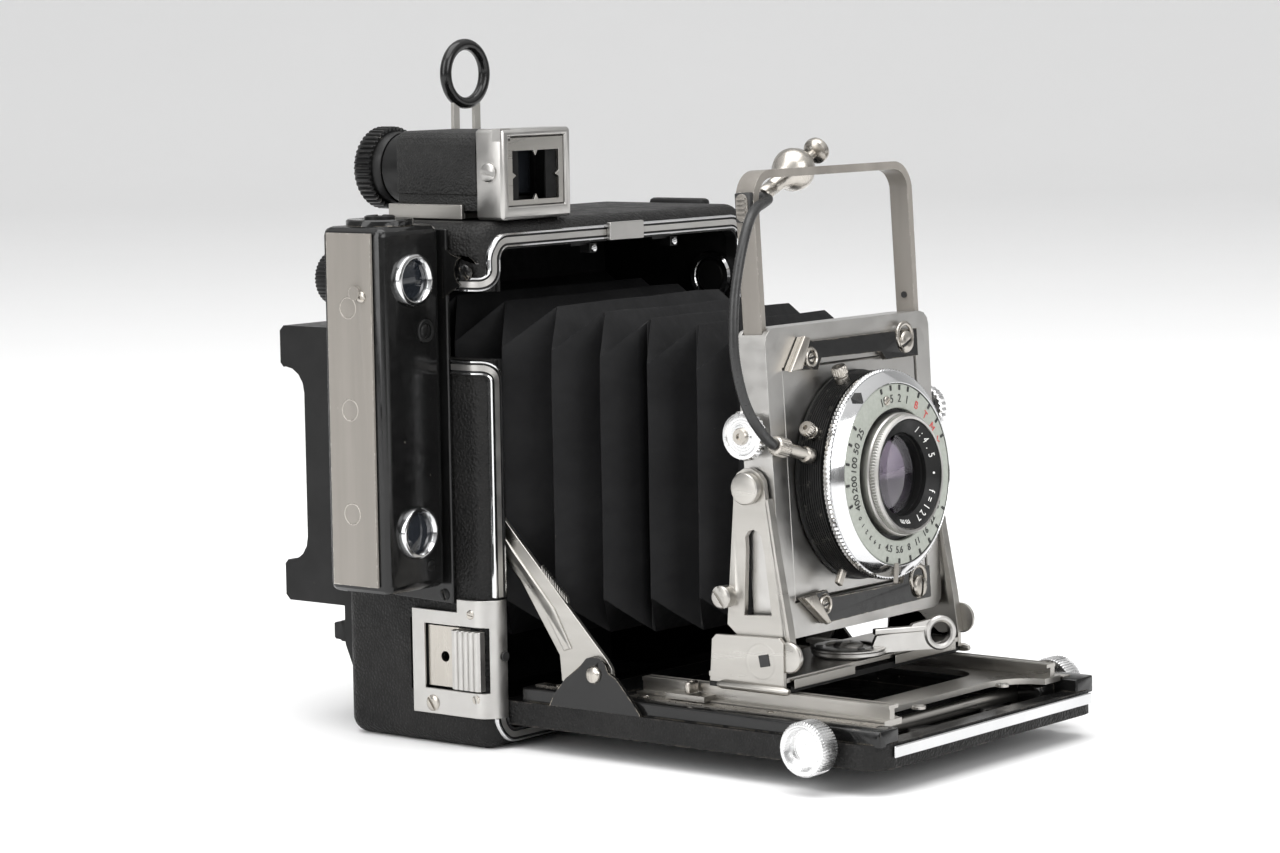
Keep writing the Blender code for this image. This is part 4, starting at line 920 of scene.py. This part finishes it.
def make_carriage():
    rivets = [screw((x, -84.2, 24.1), UP, 1.7, 0.5, 40 + x) for x in (-28, -12, 16, 31)]
    refined("carriage_base", PAINT, 0.35, extra=rivets)
    lip = prism([(-87.0, 22.8), (-86.6, 22.8), (-86.6, 25.0), (-60, 25.0), (-60, 25.35), (-87.0, 25.35)],
        "x", -38, 38)
    lip = carved(lip, lathe([(0, -4), (14.5, -4), (14.5, 4), (0, 4)], (-1, -76, 25), UP, 64))
    embossed = []
    for side in (-1, 1):
        disc = lathe([(0, 0), (5.4, 0), (5.1, 0.12), (4.5, 0.16), (4.2, 0.08), (0, 0.08)],
            (side * 41.8, -79.0, 29.6),
                     (side, 0, 0), 48)
        embossed.append(disc)
        # painted shade: a black square inset stands in for the dark inside of the square hole
        hole_shade = box((-0.3, -1.6, -1.6), (0.55, 1.6, 1.6))
        embossed.append(tinted(moved(hole_shade, Matrix.Translation((side * 41.9, -80.0, 30.2)) @
                                     turned(-12, "X")), 1))
        tab = lathe([(0, 0), (4.2, 0), (4.2, 0.9), (3.8, 1.3), (0, 1.3)], (side * 40.0, -87.2, 31.5),
            (side, 0, 0), 48)
        embossed.append(tab)
        rail = tube([Vector((side * 42.5, -88.5, 22.7)), Vector((side * 42.5, -86.9, 22.8)),
            Vector((side * 42.5, -66.5, 22.8)),
                     Vector((side * 42.5, -65.0, 22.7))], [0.7, 1.15, 1.15, 0.7], 20)
        embossed.append(rail)
    refined("swing_base", (PLATE, INK_AND_SHADE), 0.35, extra=[lip] + embossed)
    hub = Vector((-1.0, -78.0, 26.2))
    top = [(0, 1.7), (10.4, 1.7), (10.4, 2.0), (9.4, 2.35), (6.6, 2.55), (6.3, 2.0), (4.6, 2.0), (0, 2.2)]
    extra = [lathe(top, hub, UP, 80), tinted(screw(hub + Vector((0, 0, 2.0)), UP, 4.0, 1.5, 15), 0)]
    # painted shade: two black dots on the hub stand in for the dark inside of two holes
    extra += [tinted(lathe([(0, 0), (1.0, 0), (1.0, 0.3), (0, 0.3)],
        hub + Vector((8 * math.cos(a), 8 * math.sin(a), 2.35)),
                           UP, 24), 1) for a in (2.4, 4.2)]
    turn = turned(-30, "Z")
    ring = [(3.05, -1.05), (3.6, -1.35), (4.3, -1.35), (4.75, -0.9), (4.75, 0.9), (4.3, 1.35),
        (3.6, 1.35), (3.05, 1.05)]
    eye = lathe(ring, (25, -4.9, 31.0), BACKWARD, 72)
    fold = prism([(5.5, -5.8), (21.4, -5.8), (21.4, -3.9), (5.5, -3.9)], "z", 31.6, 33.4, 0.4)
    for part in (eye, fold):
        extra.append(moved(part, Matrix.Translation((hub.x, hub.y, 0)) @ turn))
    refined("lock_lever", (SATIN, INK_AND_SHADE), 0.3, extra=extra)


# ---------------------------------------------------------------- front standard

def make_arms():
    for name, side in (("left", -1), ("right", 1)):
        x = side * 41.8
        stud = [(0, -1.5), (3.9, -1.5), (4.3, -1.2), (4.3, 0.2), (4.0, 0.55), (0, 0.7)]
        extra = [lathe(stud, (x, -76.6, 75.8), (side, 0, 0), 64)]
        # the folded front flange, with a step at the foot
        front = prism([(-88.0, 27.5), (-85.9, 27.5), (-83.4, 57.0), (-81.7, 72.5), (-82.7, 72.9),
            (-84.4, 57.5), (-87.0, 38.5)],
                      "x", *sorted((side * 37.4, side * 40.0)))
        extra.append(front)
        if side < 0:
            extra.append(screw((-42.5, -67.5, 47.0), (side, 0, 0), 3.1, 1.1, 35, 0.28))
        refined(name + "_arm", PLATE, 0.3, lean=True, extra=extra)
    knob = [(0, 0.6), (2.4, 0.6), (2.6, 0.1), (6.0, 0.1), (6.2, 0.4), (6.2, 2.7), (5.7, 3.2), (2.0, 3.2),
        (1.6, 3.7),
            (0, 3.8)]
    piece("tilt_clamp_knob", lathe(knob, (40.3, -67.5, 47.0), RIGHT, teeth=34, above=5.9, depth=0.35),
        NICKEL,
          "tilt_clamp", "tilt_knob", lean=True)
    for name, side in (("left", -1), ("right", 1)):
        place = (side * 40.6, -77.9, 89.8)
        profile = [(0, -2.2), (1.8, -2.2), (1.8, 0.0), (6.2, 0.0), (6.6, 0.4), (6.6, 2.4), (6.1, 2.9),
            (5.2, 3.0),
                   (4.9, 2.6), (3.2, 2.6), (2.9, 3.1), (2.4, 3.1)]
        stud = [(0, 2.0), (2.3, 2.0), (2.3, 3.5), (2.0, 4.0), (0.9, 4.0), (0.8, 3.4), (0, 3.4)]
        looks = [spun(name + "_spun", LEAN @ Vector(place)), NICKEL]
        bm = merged(lathe(profile + [(0, 3.1)], place, (side, 0, 0), teeth=26, above=6.15, depth=0.5,
            soft=True),
                    tinted(lathe(stud, place, (side, 0, 0), 48), 1))
        piece(name + "_wave_knob", bm, looks, name + "_clamp", name + "_rise_knob", lean=True)


def make_lens_frame():
    guide = box((38.0, -81.2, 92), (39.4, -74.5, 113), 0.3, 2)
    refined("lens_frame", SATIN, 0.9, lean=True, extra=[guide], segments=4)
    refined("lens_board", SATIN, 0.45, lean=True, segments=3)
    front = FRONT - 1.7
    tabs = {"top_clip": ([(-30.9, 105.6), (-25.6, 105.9), (-21.3, 113.9), (-23.8, 114.6)], (-20.2, 108.6),
        109.6, 25),
            "bottom_clip": ([(-30.9, 45.8), (-21.0, 37.4), (-19.0, 37.6), (-25.2, 46.0)], (-20.2, 42.6),
                42.0, 80)}
    for name, (tab, eye, z, angle) in tabs.items():
        flap = tinted(prism(tab, "y", front - 1.1, front + 0.2, 0.3), 1)
        loop = [(2.3 + 0.45 * math.cos(math.tau * i / 10),
            0.45 * math.sin(math.tau * i / 10)) for i in range(10)]
        rings = [tinted(lathe(loop, (eye[0], front - 0.1, eye[1]), AHEAD, 40), 1),
                 tinted(lathe([(r * 1.5, h) for r, h in loop],
                     (23.6, front - 0.1, z + (1.6 if z > 80 else 2.4)),
                              AHEAD, 48), 1)]
        head = tinted(screw((23.6, front, z), AHEAD, 3.0, 1.5, angle, 0.16), 1)
        dot = tinted(screw((eye[0] + 0.3, front + 0.4, eye[1]), AHEAD, 1.3, 0.6, 10), 1)
        refined(name, (ENAMEL, NICKEL), 0.28, lambda c, n: int(n.y > -0.9), lean=True, edge_look=1,
                extra=[flap, head, dot] + rings)


def make_sports_finder():
    w, t, foot, top, r = 36.6, 2.2, 90.0, 159.0, 8.0
    outline = [(-w, foot), (-w + t, foot)] + arc((-w + r, top - r), r - t, 180, 90, 14)
    outline += arc((w - r, top - r), r - t, 90, 0, 14) + [(w - t, foot), (w, foot)]
    outline += arc((w - r, top - r), r, 0, 90, 14) + arc((-w + r, top - r), r, 90, 180, 14)
    bar = prism(outline, "y", -81.3, -75.3, 0.35)
    # painted shade: a black block stands in for the dark recess of the latch on the left leg
    recess_shade = box((-w - 1.2, -81.0, 145.5), (-w + 0.8, -75.8, 153.4), 0.5, 2)
    pill = [(-81.0 + 2.7 + a, b) for a, b in arc((0, 147.6), 1.9, 180, 360, 10) + arc((0, 151.2), 1.9, 0,
        180, 10)]
    latch = [tinted(recess_shade, 1), prism(pill, "x", -w - 1.55, -w - 1.0, 0.15)]
    latch += [box((-w - 2.0, -79.7, 146.7 + 1.2 * i), (-w - 1.3, -76.9, 147.3 + 1.2 * i)) for i in range(5)]
    # painted shade: a black disc stands in for the dark inside of a small hole in the right leg
    hole_shade = tinted(lathe([(0, 0), (0.9, 0), (0.9, 0.2), (0, 0.2)], (w + 0.05 - t - 0.2, -78.3, 122.0),
        LEFT, 24), 1)
    piece("wire_frame_finder", merged(bar, *latch, hole_shade), (DARK_NICKEL, INK_AND_SHADE), "sports_finder_frame",
        "sports_finder",
          lean=True, sharp=30)


# ---------------------------------------------------------------- shutter and lens

def on_dial(angle, radius, offset, upright=False):
    """Matrix from the written sheet to a place on the dial."""
    turn = math.radians(angle)
    spin = Matrix.Rotation(turn + (math.pi / 2 if upright else -math.pi / 2), 4, "Z")
    out = Matrix.Translation((radius * math.cos(turn), radius * math.sin(turn), offset))
    return Matrix.Translation((0, FRONT, AXIS_Z)) @ Matrix.Rotation(math.pi / 2, 4, "X") @ out @ spin


def make_shutter():
    centre, ahead = (0, FRONT, AXIS_Z), AHEAD
    case = [(13.0, 0.2), (28.4, 0.2), (28.4, 1.0)]
    for i in range(10):
        base = 1.15 + i * 0.72
        case += [(28.0, base), (28.0, base + 0.42), (27.65, base + 0.5), (27.65, base + 0.68)]
    case += [(28.0, 8.5), (13.0, 8.5)]
    parts = [lathe(case, centre, ahead, 128)]
    for angle in (112, 152, 31):
        way = (math.cos(math.radians(angle)), 0, math.sin(math.radians(angle)))
        root = (27.2 * way[0], FRONT - 4.6, AXIS_Z + 27.2 * way[2])
        post = [(0, 0), (1.9, 0), (1.9, 2.2), (1.5, 2.4), (1.5, 2.9), (2.1, 3.1), (2.1, 4.9), (1.8, 5.3),
            (0.7, 5.3), (0.6, 4.4),
                (0, 4.4)]
        parts.append(tinted(lathe(post, root, way, teeth=18, above=2.0, depth=0.2), 1))
    piece("ribbed_shutter_case", merged(*parts), (PAINT, NICKEL), "front_standard", "shutter_case",
        lean=True)
    band = [(26.5, 9.0), (28.2, 9.0), (28.35, 9.3), (28.35, 10.6), (28.1, 11.0), (26.5, 11.0)]
    cone = [(24.55, 10.0), (27.6, 10.0), (27.6, 11.2), (25.0, 13.35), (24.7, 13.5), (24.55, 13.4)]
    wedge = prism([(24.9, -0.25), (27.5, -1.1), (27.5, 1.1), (24.9, 0.25)], "y", -13.5, -10.9)
    moved(wedge, Matrix.Translation((0, FRONT, AXIS_Z)) @ turned(-125, "Y"))
    ring = merged(lathe(band, centre, ahead, teeth=140, above=28.0, depth=0.3, soft=True),
        lathe(cone, centre, ahead, 128))
    piece("knurled_speed_ring", merged(ring, tinted(wedge, 1)), (CHROME, INK_AND_SHADE), "speed_setting",
        "speed_ring", lean=True)
    plate = [(17.8, 8.8), (24.35, 8.8), (24.35, 13.1), (24.1, 13.35), (18.0, 13.6), (17.8, 13.45)]
    dial = [lathe(plate, centre, ahead, 128)]
    marks = [(a, t, 1) for a, t in ((196, "400"), (182, "200"), (168, "100"), (155, "50"), (143, "25"),
        (104, "10"),
                                    (93, "5"), (83, "2"), (73, "1"))]
    marks += [(a, t, 2) for a, t in ((60, "B"), (46, "T"), (33, "M"), (21, "X"))]
    for angle, text, ink in marks:
        dial.append(letters(text, 3.1, on_dial(angle, 20.3, 13.58), ink))
    stops = ((252, "4.5"), (266, "5.6"), (279, "8"), (291, "11"), (304, "16"), (317, "22"), (331, "32"))
    for angle, text in stops:
        dial.append(letters(text, 2.7, on_dial(angle, 20.3, 13.58, True), 1))
    for angle in [mark[0] for mark in marks] + [stop[0] for stop in stops]:
        bar = box((22.6, -13.62, -0.32), (24.0, -13.3, 0.32))
        moved(bar, Matrix.Translation((0, FRONT, AXIS_Z)) @ turned(-angle, "Y"))
        dial.append(tinted(bar, 1))
    for i in range(6):
        dial.append(letters("012345"[i], 1.8, on_dial(208 + 6.4 * i, 21.0, 13.55), 1))
    dial.append(tinted(screw((-3.4, FRONT - 13.4, AXIS_Z + 20.0), AHEAD, 1.3, 0.6, 40), 3))
    piece("numbered_dial", merged(*dial), (DIAL, INK_AND_SHADE, RED_INK, NICKEL), "front_standard", "dial_plate",
        lean=True)
    sleeve = [(14.9, 8.8), (16.6, 8.8), (16.6, 15.0), (16.3, 15.4), (15.9, 15.5), (15.9, 17.2),
        (15.5, 17.6), (14.9, 17.5)]
    bezel = [(11.2, 13.4), (14.95, 13.4), (14.95, 17.3), (14.6, 17.45), (14.2, 16.9), (11.6, 15.3),
        (11.2, 14.9)]
    barrel = [lathe(sleeve, centre, ahead, teeth=110, above=15.85, depth=0.0),
        tinted(lathe(bezel, centre, ahead, 128), 1),
              tinted(lathe([(16.5, 8.9), (17.9, 8.9), (17.9, 12.2), (16.5, 12.2)], centre, ahead, 96), 1)]
    tilt = turned(31.6, "X")
    word = "1:4.5 • f=127 mm"
    for i, letter in enumerate(word):
        if letter != " ":
            angle = 62 - i * 11.0
            barrel.append(letters(letter, 2.6, on_dial(angle, 12.9, 16.16) @ tilt, 2, 0.06))
    knurl = [(14.9, 15.6), (16.15, 15.6), (16.15, 17.0), (15.6, 17.5), (14.9, 17.4)]
    barrel.append(lathe(knurl, centre, ahead, teeth=120, above=16.0, depth=0.22))
    piece("lens_sleeve", merged(*barrel), (SATIN, PAINT, WHITE_INK), "front_standard", "lens_barrel",
        lean=True)
    dome = [(0, 10.4), (11.1, 10.7), (11.1, 11.4)]
    dome += [(r, 11.4 + 1.9 * (1 - (r / 11.1) ** 2)) for r in (10, 8.5, 7, 5.5, 4, 2.5, 1.2)] + [(0, 13.3)]
    piece("front_element", lathe(dome, centre, ahead, 96), COATED, "front_standard", "front_glass",
        lean=True)
    inner = [(0, 8.3), (10.6, 8.3), (10.6, 8.6), (9.6, 9.0), (7.5, 9.5), (5, 9.85), (2.5, 10.05), (0, 10.1)]
    well = [(10.6, 8.7), (11.3, 8.7), (11.3, 13.6), (10.6, 13.6)]
    piece("inner_element", merged(lathe(inner, centre, ahead, 96), tinted(lathe(well, centre, ahead, 96),
        1)),
          (DEEP_LENS, FLAT_BLACK), "front_standard", lean=True)
    back = [(0, -9.0), (9.8, -9.2), (9.8, -8.6), (10.4, -9.0), (12.3, -9.0), (12.6, -8.5), (12.6, 7.9),
        (0, 7.9)]
    piece("rear_mount", lathe(back, centre, ahead, 72), PAINT, "front_standard", "rear_cell", lean=True)
    # painted shade: the aperture lever takes the darker nickel to stand in for the shade on its face
    refined("aperture_lever", DARK_NICKEL, 0.2)
    refined("cocking_lever", NICKEL, 0.25)


# ---------------------------------------------------------------- stage

def make_stage():
    bm = bmesh.new()
    line = [(-6.0, 0.0), (3.2, 0.0)] + [(3.2 + 1.6 * math.sin(a), 1.6 - 1.6 * math.cos(a)) for a in
                                       (math.radians(6 * i) for i in range(1, 16))] + [(4.8, 6.0)]
    aim = math.radians(CAMERA_ANGLES[0])
    depth = Vector((-math.sin(aim), math.cos(aim), 0))
    width = Vector((math.cos(aim), math.sin(aim), 0))
    rows = [[bm.verts.new(depth * d + width * w + Vector((0, 0, h))) for d, h in line] for w in (-6, 6)]
    for k in range(len(line) - 1):
        bm.faces.new((rows[0][k], rows[1][k], rows[1][k + 1], rows[0][k + 1]))
    bm.normal_update()
    mesh = bpy.data.meshes.new("studio_sheet")
    bm.to_mesh(mesh)
    bm.free()
    mesh.shade_smooth()
    sheet = surface("studio_white", [(0.3, (0.87, 0.87, 0.87)), (0.8, (0.88, 0.88, 0.88))], (0.5, 0.56), 3,
                    Specular_IOR_Level=0.2)
    mesh.materials.append(sheet)
    obj = bpy.data.objects.new("studio_sheet", mesh)
    bpy.context.scene.collection.objects.link(obj)


def lamp(name, place, target, size, power, shape="RECTANGLE"):
    light = bpy.data.lights.new(name, "AREA")
    light.shape = shape
    light.size, light.size_y = size
    light.energy = power
    obj = bpy.data.objects.new(name, light)
    obj.location = place
    obj.rotation_euler = (Vector(target) - Vector(place)).to_track_quat("-Z", "Y").to_euler()
    bpy.context.scene.collection.objects.link(obj)


def make_lights():
    aim = (0, -0.05, 0.08)
    lamp("overhead", (-0.3, -0.2, 1.7), aim, (1.8, 1.8), 30)
    lamp("left_box", (-1.5, 0.25, 0.75), aim, (0.9, 1.2), 12)
    lamp("front_box", (-0.25, -1.7, 0.8), aim, (1.1, 0.9), 11)
    world = bpy.data.worlds.new("studio")
    world.use_nodes = True
    tree = world.node_tree
    way = node(tree, "TexCoord").outputs["Generated"]
    height = node(tree, "SeparateXYZ", {"Vector": way}).outputs["Z"]
    sky = ramp(tree, height, [(0.05, (0.20, 0.20, 0.20)), (0.45, (0.62, 0.62, 0.62)),
        (1.0, (1.0, 1.0, 1.0))])
    tree.links.new(sky, tree.nodes["Background"].inputs["Color"])
    tree.nodes["Background"].inputs["Strength"].default_value = 1.1
    scene = bpy.context.scene
    scene.world = world
    scene.view_settings.view_transform = "Standard"


make_trim()
make_body()
make_release()
make_rangefinder()
make_viewfinder()
make_peep_sight()
make_back()
make_bellows()
make_bed()
make_track()
make_carriage()
make_arms()
make_lens_frame()
make_sports_finder()
make_shutter()
make_stage()
make_lights()
